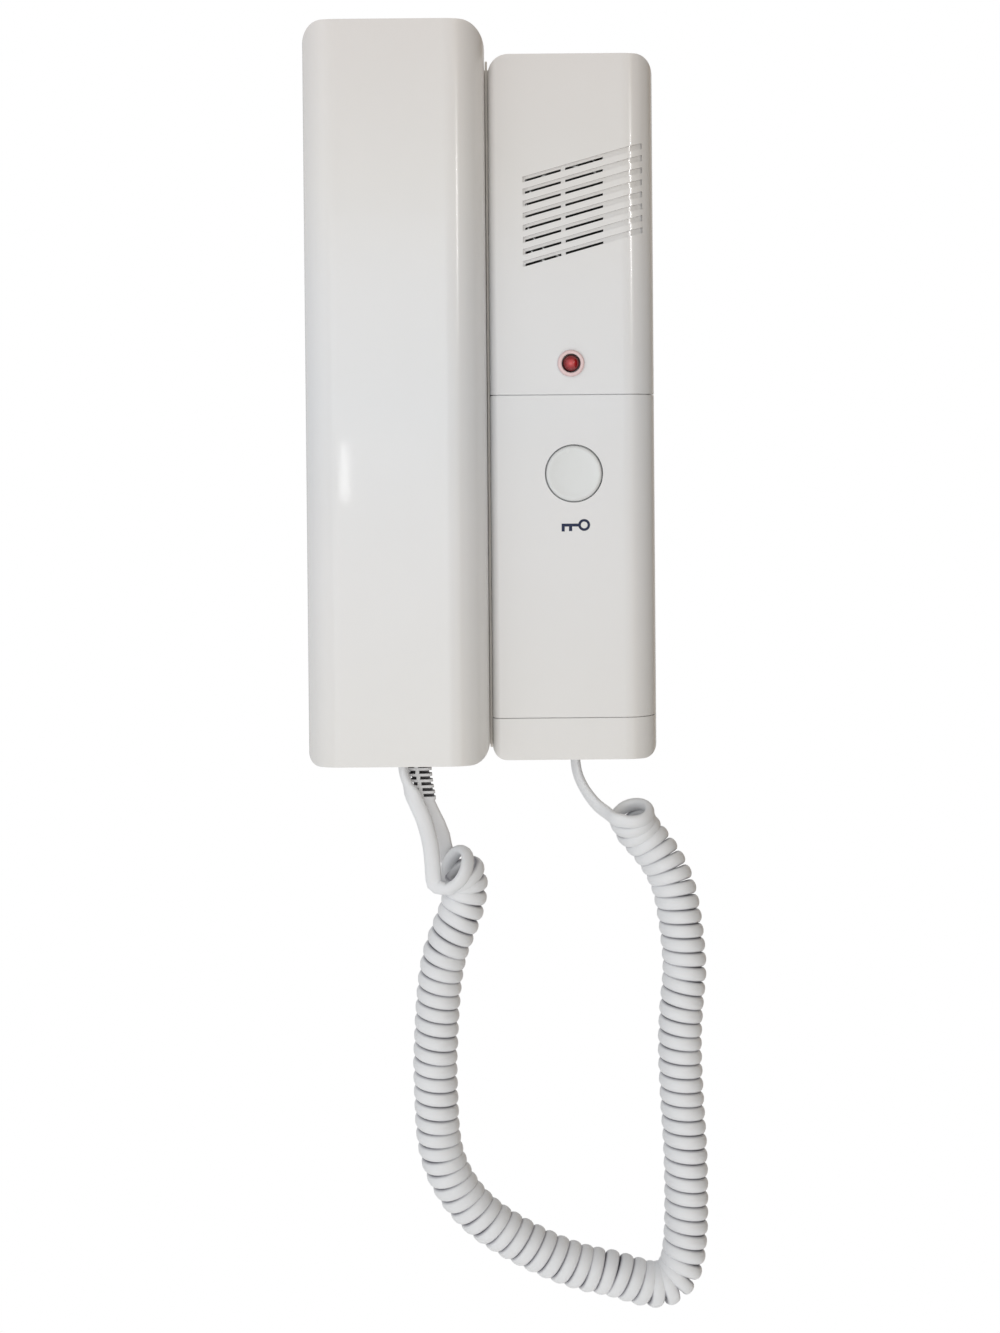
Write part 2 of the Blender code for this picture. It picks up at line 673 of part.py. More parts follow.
def handset_rear(mat):
    """Handset's rear shell with ear and mouth bosses, sound holes and screw holes."""
    left, right = HANDSET_LEFT, HANDSET_RIGHT
    part = HANDSET_PART + GAP / 2
    levels = end_levels(HANDSET_BOTTOM, HANDSET_TOP, 1.8, 3.5)
    outline = [(left, part)]
    outline += arc(left + 4.0, HANDSET_BACK - 4.0, 4.0, 180, 90, 4)
    outline += arc(right - 4.0, HANDSET_BACK - 4.0, 4.0, 90, 0, 4)
    outline.append((right, part))
    bm = bmesh.new()
    add_column(bm, outline, levels, left, right)
    obj = new_object("handset_rear_shell", bm, mat, (HANDSET_MID, HANDSET_PART, 0.0))
    bosses = ((EAR_Z, EAR_RADIUS), (MOUTH_Z, MOUTH_RADIUS))
    bm = bmesh.new()
    for z, radius in bosses:
        add_turned(bm, HANDSET_MID, z, [(radius, -21.0), (radius, -15.5), (radius - 1.0, BOSS_BACK)], 28)
    combine(obj, bm, "UNION")
    inner = [(left + WALL, part - 1.0)]
    inner += arc(left + 4.0, HANDSET_BACK - 4.0, 2.0, 180, 90, 3)
    inner += arc(right - 4.0, HANDSET_BACK - 4.0, 2.0, 90, 0, 3)
    inner.append((right - WALL, part - 1.0))
    bm = bmesh.new()
    levels = [(HANDSET_BOTTOM + WALL, 0.0), (HANDSET_TOP - WALL, 0.0)]
    add_column(bm, inner, levels, left, right)
    combine(obj, bm, "DIFFERENCE")
    bm = bmesh.new()
    for z, radius in bosses:
        add_turned(bm, HANDSET_MID, z, [(radius - 2.0, -23.0), (radius - 2.0, BOSS_BACK - 2.0)], 28)
    combine(obj, bm, "DIFFERENCE")
    bm = bmesh.new()
    for z, radius in bosses:
        ring = radius * 0.36
        add_turned(bm, HANDSET_MID, z, [(1.1, -18.0), (1.1, -13.0)], 10)
        for k in range(6):
            a = math.pi * k / 3
            x = HANDSET_MID + ring * math.cos(a)
            add_turned(bm, x, z + ring * math.sin(a), [(1.1, -18.0), (1.1, -13.0)], 10)
    for z in HANDSET_SCREWS:
        add_turned(bm, HANDSET_MID, z, [(1.5, -23.0), (1.5, -21.2), (2.9, -21.2), (2.9, -19.0)], 16)
    x, y = HANDSET_LEAD[-1][0], HANDSET_LEAD[-1][1]
    cord = arc(x, y, 2.5, 15, 345, 11)
    add_loft(bm, [[(at, deep, z) for at, deep in cord] for z in (HANDSET_BOTTOM - 1.0, HANDSET_BOTTOM + 3.0)])
    combine(obj, bm, "DIFFERENCE")


def handset_insides(plastic, rubber, steel, laminate):
    """Receiver, microphone, screws and small terminal board inside the handset."""
    x = HANDSET_MID
    ring = [(10.5, -17.6), (14.2, -17.6), (14.2, -16.8), (10.5, -16.8)]
    turned_piece("receiver_gasket", x, EAR_Z, ring, rubber, 28, True)
    capsule = [(9.0, -27.5), (9.0, -24.5), (14.2, -24.0), (14.2, -17.9)]
    turned_piece("receiver_capsule", x, EAR_Z, capsule, plastic, 28)
    ring = [(5.0, -22.5), (7.6, -22.5), (7.6, -16.8), (5.0, -16.8)]
    turned_piece("microphone_grommet", x, MOUTH_Z, ring, rubber, 24, True)
    turned_piece("microphone_capsule", x, MOUTH_Z, [(4.7, -22.0), (4.7, -17.2)], steel, 20)
    for number, z in enumerate(HANDSET_SCREWS, 1):
        profile = [(1.2, -33.0), (1.2, -20.9), (2.5, -20.9), (2.5, -20.2)]
        turned_piece("handset_screw_%d" % number, x, z, profile, steel, 12)
    bm = bmesh.new()
    add_box(bm, x - 10.0, x + 10.0, -38.0, -36.4, -62.0, -38.0)
    new_object("handset_board", bm, laminate)


def strain_boot(mat):
    """Tapered strain-relief boot under the handset, with its smooth tail."""
    bm = bmesh.new()
    sections = []
    for x, y, z, half_x, half_y in BOOT:
        angles = [2 * math.pi * k / 12 for k in range(12)]
        sections.append([(x + half_x * math.cos(a), y + half_y * math.sin(a), z) for a in angles])
    add_loft(bm, sections)
    new_object("strain_relief_boot", bm, mat)


def cord(mat):
    """Two leads, and the coil as one fat tube of its outer diameter."""
    cord_tube("cord_lead_base", smooth_route(BASE_LEAD, 4.2), CORD_RADIUS, 2, mat)
    cord_tube("curly_cord", smooth_route(COIL, 5.0), COIL_RADIUS, 4, mat)
    cord_tube("cord_lead_handset", smooth_route(HANDSET_LEAD, 4.2), CORD_RADIUS, 2, mat)


def main():
    """Build every piece."""
    clear_scene()
    white = (0.80, 0.79, 0.76)
    rear_housing(finish("housing_plastic", (0.78, 0.76, 0.70), 0.45))
    cradle_cover(finish("cradle_plastic", (0.78, 0.77, 0.72), 0.35))
    upper_cover(finish("upper_cover_plastic", white, 0.28))
    lower_cover(finish("lower_cover_plastic", white, 0.28))
    steel = finish("steel", (0.62, 0.62, 0.60), 0.35, 1.0)
    dark = finish("dark_plastic", (0.05, 0.05, 0.06), 0.5)
    rubber = finish("soft_rubber", (0.03, 0.03, 0.03), 0.8)
    speaker(finish("cone_paper", (0.08, 0.08, 0.08), 0.9), steel, rubber)
    lamp(finish("lamp_red", (0.62, 0.05, 0.03), 0.12), finish("bezel_plastic", (0.85, 0.78, 0.77), 0.3), dark)
    laminate = finish("board_laminate", (0.05, 0.22, 0.10), 0.4)
    block = finish("terminal_plastic", (0.07, 0.20, 0.12), 0.45)
    board_and_terminals(laminate, block, steel, dark, finish("capacitor_sleeve", (0.04, 0.05, 0.14), 0.4))
    button = finish("button_plastic", (0.82, 0.81, 0.78), 0.3)
    door_switch(dark, steel, button)
    hook_switch(dark, steel, button)
    cord_clamp(dark)
    shell = finish("handset_plastic", (0.80, 0.79, 0.76), 0.25)
    handset_front(shell)
    handset_rear(finish("handset_rear_plastic", (0.80, 0.79, 0.76), 0.28))
    handset_insides(dark, rubber, steel, laminate)
    strain_boot(finish("boot_vinyl", (0.82, 0.82, 0.82), 0.4))
    cord(finish("cord_vinyl", (0.84, 0.84, 0.84), 0.35))


main()
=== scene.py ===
"""Looks of a slim wall door handset: shells, grille, lamp, button, printed sign and curly cord."""

import logging
import math
from collections.abc import Iterator
from dataclasses import dataclass, field
from enum import Enum
from typing import ClassVar

import bmesh
import bpy
from mathutils import Matrix, Vector

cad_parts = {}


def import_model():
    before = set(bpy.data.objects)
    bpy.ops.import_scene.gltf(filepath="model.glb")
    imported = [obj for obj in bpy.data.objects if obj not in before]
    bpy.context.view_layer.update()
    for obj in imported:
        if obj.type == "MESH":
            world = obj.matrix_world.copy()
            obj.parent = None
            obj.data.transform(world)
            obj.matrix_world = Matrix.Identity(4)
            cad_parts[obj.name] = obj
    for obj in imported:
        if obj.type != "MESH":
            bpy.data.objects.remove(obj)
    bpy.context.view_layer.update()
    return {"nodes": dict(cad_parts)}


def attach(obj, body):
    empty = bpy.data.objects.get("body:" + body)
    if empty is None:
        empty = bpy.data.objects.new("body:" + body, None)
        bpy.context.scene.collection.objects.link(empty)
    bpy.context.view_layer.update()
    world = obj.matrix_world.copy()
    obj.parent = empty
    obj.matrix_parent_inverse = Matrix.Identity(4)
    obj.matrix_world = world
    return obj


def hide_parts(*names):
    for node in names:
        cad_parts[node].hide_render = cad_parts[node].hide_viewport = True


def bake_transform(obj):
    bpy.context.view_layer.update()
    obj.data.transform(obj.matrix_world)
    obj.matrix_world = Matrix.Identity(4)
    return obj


LOG = logging.getLogger("door_handset")
MM = 0.001
TURN_AXIS = (0.0, 1.0, 0.0)
CORD_HOLE = 2.75
SPAN_STEPS = 24
SHARP_ANGLE = 45
EVEN_WEIGHT = 80
LONG_ROUND_STEPS = 14
CORNER_STEPS = 10
END_STEPS = 3
END_ANGLE = 38.0
# Name of the cord's vertex mask of painted shade, where neighbouring coil turns meet.
GAP_SHADE_MASK = "gap_shade_mask"

Object = bpy.types.Object
BMesh = bmesh.types.BMesh
Triple = tuple[float, float, float]
Pair = tuple[float, float]
Stops = tuple[tuple[float, Triple], ...]


class Cut(Enum):
    """Ways of combining two closed meshes."""

    TAKE = "DIFFERENCE"
    JOIN = "UNION"
    MEET = "INTERSECT"


# ---------------------------------------------------------------- node trees


class Graph:
    """Short way of filling a node tree."""

    def __init__(self, tree: bpy.types.NodeTree) -> None:
        """Start on a tree.

        Args:
            tree: The tree to fill.
        """
        self.tree = tree

    def add(self, kind: str, inputs: dict | None = None, **settings: object) -> bpy.types.Node:
        """Add a node.

        Args:
            kind: The node's type.
            inputs: The values of its inputs.
            settings: The values of its properties, which are set first.

        Returns:
            The node.
        """
        node = self.tree.nodes.new(kind)
        for name, value in settings.items():
            setattr(node, name, value)
        for socket, value in (inputs or {}).items():
            node.inputs[socket].default_value = value
        return node

    def ramp(self, stops: Stops, interpolation: str = "LINEAR") -> bpy.types.Node:
        """Add a colour ramp.

        Args:
            stops: Its positions and colours, from the first to the last.
            interpolation: How it passes from stop to stop.

        Returns:
            The node.
        """
        node = self.add("ShaderNodeValToRGB")
        scale = node.color_ramp
        scale.interpolation = interpolation
        for element, (at, color) in zip(scale.elements, (stops[0], stops[-1])):
            element.position, element.color = at, (*color, 1.0)
        for at, color in stops[1:-1]:
            scale.elements.new(at).color = (*color, 1.0)
        return node

    def link(self, source: bpy.types.Node, output: str, target: bpy.types.Node, socket: str | int) -> None:
        """Link two nodes.

        Args:
            source: The node the value comes from.
            output: Its output.
            target: The node the value goes to.
            socket: Its input.
        """
        self.tree.links.new(source.outputs[output], target.inputs[socket])


class SkinGroup:
    """Shared surface of moulded plastic: faint flow mottle, handling smears and a fine skin."""

    NAME = "moulded_skin"

    @classmethod
    def get(cls) -> bpy.types.NodeTree:
        """Return the group, building it on first use.

        Returns:
            The node group with outputs Tone, Smear and Height.
        """
        found = bpy.data.node_groups.get(cls.NAME)
        return found or cls._build()

    @classmethod
    def _build(cls) -> bpy.types.NodeTree:
        """Build the group.

        Returns:
            The new node group.
        """
        tree = bpy.data.node_groups.new(cls.NAME, "ShaderNodeTree")
        for name, usual in (("Mottle Scale", 35.0), ("Grain Scale", 2600.0)):
            socket = tree.interface.new_socket(name, in_out="INPUT", socket_type="NodeSocketFloat")
            socket.default_value = usual
        for name in ("Tone", "Smear", "Height"):
            tree.interface.new_socket(name, in_out="OUTPUT", socket_type="NodeSocketFloat")
        graph = Graph(tree)
        source, sink = graph.add("NodeGroupInput"), graph.add("NodeGroupOutput")
        place = graph.add("ShaderNodeTexCoord")
        mottle = graph.add("ShaderNodeTexNoise", {"Detail": 4.0})
        smear = graph.add("ShaderNodeTexNoise", {"Scale": 90.0, "Detail": 6.0, "Distortion": 1.2})
        stretch = graph.add("ShaderNodeMapping", {"Scale": (1.0, 1.0, 0.35)})
        grain = graph.add("ShaderNodeTexNoise", {"Detail": 2.0})
        for target in (mottle, stretch, grain):
            graph.link(place, "Object", target, "Vector")
        graph.link(source, "Mottle Scale", mottle, "Scale")
        graph.link(stretch, "Vector", smear, "Vector")
        graph.link(source, "Grain Scale", grain, "Scale")
        for node, name in ((mottle, "Tone"), (smear, "Smear"), (grain, "Height")):
            graph.link(node, "Fac", sink, name)
        return tree


class HeightShadeGroup:
    """Painted shade by height: darker and warmer towards the top, a little warmer towards the bottom and bluish in the
    middle.
    """

    NAME = "height_painted_shade"

    @classmethod
    def get(cls, stops: Stops) -> bpy.types.NodeTree:
        """Return the group, building it on first use.

        Args:
            stops: Heights in metres and the tone at each.

        Returns:
            The node group, which multiplies its colour input by the painted shade.
        """
        found = bpy.data.node_groups.get(cls.NAME)
        if found:
            return found
        tree = bpy.data.node_groups.new(cls.NAME, "ShaderNodeTree")
        for side in ("INPUT", "OUTPUT"):
            tree.interface.new_socket("Color", in_out=side, socket_type="NodeSocketColor")
        low, high = stops[0][0], stops[-1][0]
        graph = Graph(tree)
        source, sink = graph.add("NodeGroupInput"), graph.add("NodeGroupOutput")
        place = graph.add("ShaderNodeTexCoord")
        split = graph.add("ShaderNodeSeparateXYZ")
        span = graph.add("ShaderNodeMapRange", {"From Min": low, "From Max": high})
        ramp = graph.ramp(tuple(((height - low) / (high - low), tone) for height, tone in stops))
        blend = graph.add("ShaderNodeMix", data_type="RGBA", blend_type="MULTIPLY")
        blend.inputs["Factor"].default_value = 1.0
        graph.link(place, "Object", split, "Vector")
        graph.link(split, "Z", span, "Value")
        graph.link(span, "Result", ramp, "Fac")
        graph.link(source, "Color", blend, "A")
        graph.link(ramp, "Color", blend, "B")
        graph.link(blend, "Result", sink, "Color")
        return tree


# ---------------------------------------------------------------- finishes


@dataclass(frozen=True)
class Plastic:
    """A moulded plastic, vinyl or rubber finish."""

    NOISE_SPAN: ClassVar[Pair] = (0.3, 0.7)
    SMOOTHEST: ClassVar[float] = 0.02
    BUMP_HEIGHT: ClassVar[float] = 0.0001
    SCATTER: ClassVar[Triple] = (1.0, 0.9, 0.8)

    name: str
    color: Triple
    deep: Triple
    roughness: float
    spread: float = 0.08
    coat: float = 0.0
    bump: float = 0.05
    grain_scale: float = 2600.0
    mottle_scale: float = 35.0
    metallic: float = 0.0
    subsurface: float = 0.0
    # Painted shade by height, as (height, tone) stops.
    height_shade: Stops = ()
    coat_roughness: float = 0.12
    # Colour of painted shade laid on the gaps between coil turns by a vertex mask.
    gap_shade_color: Triple | None = None

    def material(self) -> bpy.types.Material:
        """Return the finish's material, building it on first use.

        Returns:
            The material.
        """
        found = bpy.data.materials.get(self.name)
        if found:
            return found
        mat = bpy.data.materials.new(self.name)
        mat.use_nodes = True
        graph = Graph(mat.node_tree)
        shader = mat.node_tree.nodes["Principled BSDF"]
        scales = {"Mottle Scale": self.mottle_scale, "Grain Scale": self.grain_scale}
        skin = graph.add("ShaderNodeGroup", scales, node_tree=SkinGroup.get())
        low, high = self.NOISE_SPAN
        tone = graph.ramp(((low, self.deep), (high, self.color)))
        graph.link(skin, "Tone", tone, "Fac")
        # Painted shade: the height group darkens and warms the colour towards the top and bottom.
        if self.height_shade:
            height_shaded = graph.add("ShaderNodeGroup", node_tree=HeightShadeGroup.get(self.height_shade))
            graph.link(tone, "Color", height_shaded, "Color")
            graph.link(height_shaded, "Color", shader, "Base Color")
        # Painted shade: darken the colour in the gaps between coil turns by the vertex mask.
        elif self.gap_shade_color:
            gap_shade_mask = graph.add("ShaderNodeAttribute", attribute_name=GAP_SHADE_MASK)
            gap_shaded = graph.add("ShaderNodeMix", {"B": (*self.gap_shade_color, 1.0)}, data_type="RGBA")
            graph.link(gap_shade_mask, "Fac", gap_shaded, "Factor")
            graph.link(tone, "Color", gap_shaded, "A")
            graph.link(gap_shaded, "Result", shader, "Base Color")
        else:
            graph.link(tone, "Color", shader, "Base Color")
        span = {
            "From Min": low,
            "From Max": high,
            "To Min": max(self.SMOOTHEST, self.roughness - self.spread / 2),
            "To Max": self.roughness + self.spread / 2,
        }
        rough = graph.add("ShaderNodeMapRange", span)
        graph.link(skin, "Smear", rough, "Value")
        graph.link(rough, "Result", shader, "Roughness")
        bump = graph.add("ShaderNodeBump", {"Strength": self.bump, "Distance": self.BUMP_HEIGHT})
        graph.link(skin, "Height", bump, "Height")
        graph.link(bump, "Normal", shader, "Normal")
        shader.inputs["Metallic"].default_value = self.metallic
        shader.inputs["Coat Weight"].default_value = self.coat
        shader.inputs["Coat Roughness"].default_value = self.coat_roughness
        if self.subsurface:
            shader.inputs["Subsurface Weight"].default_value = self.subsurface
            shader.inputs["Subsurface Radius"].default_value = self.SCATTER
            shader.inputs["Subsurface Scale"].default_value = MM
        return mat


@dataclass(frozen=True)
class LampRed:
    """Translucent red of the indicator lamp, with painted light: a painted glow over its middle fading to painted shade
    at its rim.
    """

    name: str = "lamp_red_dome"
    x: float = 0.0265
    z: float = 0.0128
    radius: float = 0.00245
    roughness: float = 0.16
    coat: float = 0.6
    coat_roughness: float = 0.05
    # Painted glow at the middle, fading to painted shade at the rim, by distance from the dome's centre.
    glow_and_shade_tones: Stops = ((0.0, (0.66, 0.06, 0.06)), (0.45, (0.38, 0.012, 0.018)), (0.95, (0.10, 0.003, 0.005)))

    def material(self) -> bpy.types.Material:
        """Return the lamp's material.

        Returns:
            The material.
        """
        mat = bpy.data.materials.new(self.name)
        mat.use_nodes = True
        graph = Graph(mat.node_tree)
        shader = mat.node_tree.nodes["Principled BSDF"]
        place = graph.add("ShaderNodeTexCoord")
        shift = (-self.x / self.radius, 0.0, -self.z / self.radius)
        scale = (1 / self.radius, 0.0, 1 / self.radius)
        centre = graph.add("ShaderNodeMapping", {"Location": shift, "Scale": scale})
        length = graph.add("ShaderNodeVectorMath", operation="LENGTH")
        ramp = graph.ramp(self.glow_and_shade_tones)
        graph.link(place, "Object", centre, "Vector")
        graph.link(centre, "Vector", length, 0)
        graph.link(length, "Value", ramp, "Fac")
        graph.link(ramp, "Color", shader, "Base Color")
        shader.inputs["Roughness"].default_value = self.roughness
        shader.inputs["Coat Weight"].default_value = self.coat
        shader.inputs["Coat Roughness"].default_value = self.coat_roughness
        return mat


# Painted shade by height: multipliers that darken and warm the shells towards the top and bottom, bluish in the middle.
HEIGHT_SHADE = (
    (-0.105, (0.985, 0.97, 0.945)),
    (-0.045, (0.99, 0.985, 0.985)),
    (0.0, (0.975, 0.985, 1.0)),
    (0.035, (0.985, 0.985, 0.99)),
    (0.065, (0.995, 0.98, 0.96)),
    (0.11, (0.965, 0.93, 0.905)),
)
SHELL = Plastic(
    "shell_gloss",
    (0.766, 0.764, 0.767),
    (0.755, 0.753, 0.754),
    0.17,
    0.04,
    coat=0.2,
    subsurface=0.05,
    height_shade=HEIGHT_SHADE,
    coat_roughness=0.05,
)
HANDSET_SHELL = Plastic(
    "handset_gloss",
    (0.790, 0.791, 0.796),
    (0.779, 0.780, 0.784),
    0.18,
    0.04,
    coat=0.3,
    subsurface=0.05,
    height_shade=HEIGHT_SHADE,
    coat_roughness=0.04,
)
CRADLE = Plastic("cradle_satin", (0.76, 0.72, 0.66), (0.73, 0.69, 0.63), 0.40)
HOUSING = Plastic("housing_satin", (0.70, 0.68, 0.63), (0.66, 0.64, 0.59), 0.48, bump=0.12)
BUTTON = Plastic("button_gloss", (0.735, 0.752, 0.755), (0.715, 0.732, 0.735), 0.24, coat=0.3)
BEZEL = Plastic("bezel_blush", (0.80, 0.62, 0.62), (0.76, 0.57, 0.57), 0.28, coat=0.3)
INK = Plastic("sign_ink", (0.003, 0.012, 0.060), (0.002, 0.010, 0.050), 0.60, bump=0.02)
# Cord vinyl; painted shade darkens the gaps between coil turns.
VINYL = Plastic(
    "cord_vinyl_skin",
    (0.80, 0.81, 0.83),
    (0.75, 0.76, 0.78),
    0.36,
    bump=0.05,
    mottle_scale=60.0,
    subsurface=0.04,
    gap_shade_color=(0.23, 0.225, 0.26),
)
BOOT_VINYL = Plastic("boot_vinyl_skin", (0.78, 0.78, 0.79), (0.72, 0.72, 0.73), 0.42, bump=0.08)
# Painted shade: dark colour for the faces cut by the boot's slots, standing in for the shade inside them.
BOOT_SLOT_PAINTED_SHADE = Plastic("boot_slot_painted_shade", (0.30, 0.29, 0.31), (0.24, 0.235, 0.25), 0.6, bump=0.08)
DARK = Plastic("dark_moulding", (0.035, 0.035, 0.04), (0.02, 0.02, 0.025), 0.5)
RUBBER = Plastic("soft_rubber_skin", (0.025, 0.025, 0.025), (0.015, 0.015, 0.015), 0.75, bump=0.2)
PAPER = Plastic("cone_paper_skin", (0.07, 0.068, 0.065), (0.04, 0.04, 0.04), 0.9, bump=0.4, grain_scale=900.0)
LAMINATE = Plastic("board_green", (0.035, 0.20, 0.08), (0.02, 0.13, 0.05), 0.38, coat=0.4, grain_scale=700.0)
TERMINAL = Plastic("terminal_green", (0.05, 0.22, 0.12), (0.04, 0.17, 0.09), 0.45)
SLEEVE = Plastic("capacitor_blue", (0.02, 0.03, 0.12), (0.015, 0.02, 0.09), 0.3, coat=0.5)
STEEL = Plastic(
    "plated_steel", (0.62, 0.62, 0.60), (0.50, 0.50, 0.49), 0.32, metallic=1.0, bump=0.1, grain_scale=900.0
)


# ---------------------------------------------------------------- mesh helpers


def make_object(name: str, bm: BMesh, finish: object) -> Object:
    """Turn geometry in metres into an object at the origin.

    Args:
        name: The object's name.
        bm: The geometry, which is freed.
        finish: A finish with a material method.

    Returns:
        The new object.
    """
    mesh = bpy.data.meshes.new(name)
    bm.to_mesh(mesh)
    bm.free()
    obj = bpy.data.objects.new(name, mesh)
    bpy.context.scene.collection.objects.link(obj)
    mesh.materials.append(finish.material())
    return obj


def settle(obj: Object) -> None:
    """Apply every modifier of an object.

    Args:
        obj: The object.
    """
    graph = bpy.context.evaluated_depsgraph_get()
    made = bpy.data.meshes.new_from_object(obj.evaluated_get(graph))
    old = obj.data
    obj.modifiers.clear()
    obj.data = made
    made.name = obj.name
    bpy.data.meshes.remove(old)


def combine(obj: Object, tool_bm: BMesh, how: Cut, finish: Plastic | None = None) -> None:
    """Join a closed mesh to an object, take it away, or keep what the two share.

    Args:
        obj: The object to change.
        tool_bm: The other mesh, which is freed.
        how: Which of the three to do.
        finish: The finish of the faces the other mesh leaves, if not the object's own.
    """
    bmesh.ops.recalc_face_normals(tool_bm, faces=tool_bm.faces)
    mesh = bpy.data.meshes.new("tool")
    tool_bm.to_mesh(mesh)
    tool_bm.free()
    tool = bpy.data.objects.new("tool", mesh)
    bpy.context.scene.collection.objects.link(tool)
    mesh.materials.append(finish.material() if finish else obj.data.materials[0])
    step = obj.modifiers.new("combine", "BOOLEAN")
    step.operation = how.value
    step.solver = "EXACT"
    step.material_mode = "TRANSFER" if finish else "INDEX"
    step.object = tool
    settle(obj)
    bpy.data.objects.remove(tool, do_unlink=True)
    bpy.data.meshes.remove(mesh)


def soften(obj: Object, width: float, segments: int = 2, angle: float = 40.0) -> None:
    """Round an object's sharp edges and even out its shading.

    Args:
        obj: The object.
        width: The edge round, in metres.
        segments: Steps across each round.
        angle: Edges sharper than this many degrees are rounded.
    """
    if width:
        soften_edges(obj, width, segments, angle)
    obj.data.shade_smooth()
    obj.data.set_sharp_from_angle(angle=math.radians(SHARP_ANGLE))
    even = obj.modifiers.new("even", "WEIGHTED_NORMAL")
    even.keep_sharp = True
    even.weight = EVEN_WEIGHT
    settle(obj)


def add_block(bm: BMesh, low: tuple[float, ...], high: tuple[float, ...]) -> list[bmesh.types.BMVert]:
    """Add a box between two corners given in millimetres.

    Args:
        bm: The mesh to add to.
        low: The lowest corner.
        high: The highest corner.

    Returns:
        The box's vertices.
    """
    lo, hi = Vector(low) * MM, Vector(high) * MM
    made = bmesh.ops.create_cube(bm, size=1.0)["verts"]
    bmesh.ops.scale(bm, vec=hi - lo, verts=made)
    bmesh.ops.translate(bm, vec=(lo + hi) / 2, verts=made)
    return made


def add_turned(
    bm: BMesh,
    centre: Triple,
    profile: list[Pair],
    steps: int = 48,
    closed: bool = False,
) -> None:
    """Turn (radius, depth) points about an axis along Y.

    Args:
        bm: The mesh to add to.
        centre: A point on the axis, in millimetres; depths count from it.
        profile: The outline's points in millimetres.
        steps: Steps round the turn.
        closed: Whether the outline joins its own start, as a ring's does.
    """
    x, y, z = centre
    verts = [bm.verts.new(((x + r) * MM, (y + d) * MM, z * MM)) for r, d in profile]
    edges = [bm.edges.new(pair) for pair in zip(verts, verts[1:])]
    if closed:
        edges.append(bm.edges.new((verts[-1], verts[0])))
    bmesh.ops.spin(
        bm,
        geom=verts + edges,
        cent=Vector(centre) * MM,
        axis=TURN_AXIS,
        angle=math.tau,
        steps=steps,
        use_merge=True,
    )
    bmesh.ops.remove_doubles(bm, verts=bm.verts, dist=1e-7)
    bmesh.ops.recalc_face_normals(bm, faces=bm.faces)


def combine_block(obj: Object, low: tuple[float, ...], high: tuple[float, ...], how: Cut = Cut.TAKE) -> None:
    """Combine a box with an object.

    Args:
        obj: The object to change.
        low: The box's lowest corner, in millimetres.
        high: The box's highest corner, in millimetres.
        how: How to combine them.
    """
    bm = bmesh.new()
    add_block(bm, low, high)
    combine(obj, bm, how)


def combine_turned(
    obj: Object, centre: Triple, profile: list[Pair], steps: int = 48, how: Cut = Cut.TAKE
) -> None:
    """Combine a turned piece with an object.

    Args:
        obj: The object to change.
        centre: A point on the axis, in millimetres; depths count from it.
        profile: The outline's points (radius, depth), in millimetres.
        steps: Steps round the turn.
        how: How to combine them.
    """
    bm = bmesh.new()
    add_turned(bm, centre, profile, steps)
    combine(obj, bm, how)


def drill_upright(obj: Object, centre: Pair, radius: float, z0: float, z1: float) -> None:
    """Drill an upright round hole.

    Args:
        obj: The object to change.
        centre: The hole's axis in X and Y, in millimetres.
        radius: Its radius, in millimetres.
        z0: Its bottom, in millimetres.
        z1: Its top, in millimetres.
    """
    bm = bmesh.new()
    place = Matrix.Translation(Vector((centre[0], centre[1], (z0 + z1) / 2)) * MM)
    bmesh.ops.create_cone(
        bm,
        cap_ends=True,
        segments=32,
        radius1=radius * MM,
        radius2=radius * MM,
        depth=(z1 - z0) * MM,
        matrix=place,
    )
    combine(obj, bm, Cut.TAKE)


def remove(*objects: Object) -> None:
    """Remove objects that only served to cut others."""
    for obj in objects:
        bpy.data.objects.remove(obj, do_unlink=True)


@dataclass
class EdgeRounds:
    """Rounds of a moulded box's edges, in millimetres."""

    front_left: float
    front_right: float
    back_left: float = 0.0
    back_right: float = 0.0
    top_left: float = 0.0
    top_right: float = 0.0
    bottom_left: float = 0.0
    bottom_right: float = 0.0
    end_edge: float = 0.0

    def inside(self, wall: float) -> "EdgeRounds":
        """Return the rounds of the hollow behind a wall.

        Args:
            wall: The wall's thickness, in millimetres.

        Returns:
            The smaller rounds, with sharp ends.
        """
        long_edges = (self.front_left, self.front_right, self.back_left, self.back_right)
        corners = (self.top_left, self.top_right, self.bottom_left, self.bottom_right)
        return EdgeRounds(*[max(0.0, size - wall) for size in long_edges + corners])


def round_edges(bm: BMesh, edges: list[bmesh.types.BMEdge], size: float, steps: int) -> None:
    """Round some of a mesh's edges.

    Args:
        bm: The mesh.
        edges: The edges.
        size: The round, in millimetres.
        steps: Steps across it.
    """
    if size > 0 and edges:
        bmesh.ops.bevel(
            bm,
            geom=edges,
            offset=size * MM,
            offset_type="OFFSET",
            segments=steps,
            profile=0.5,
            affect="EDGES",
            material=-1,
            clamp_overlap=True,
        )


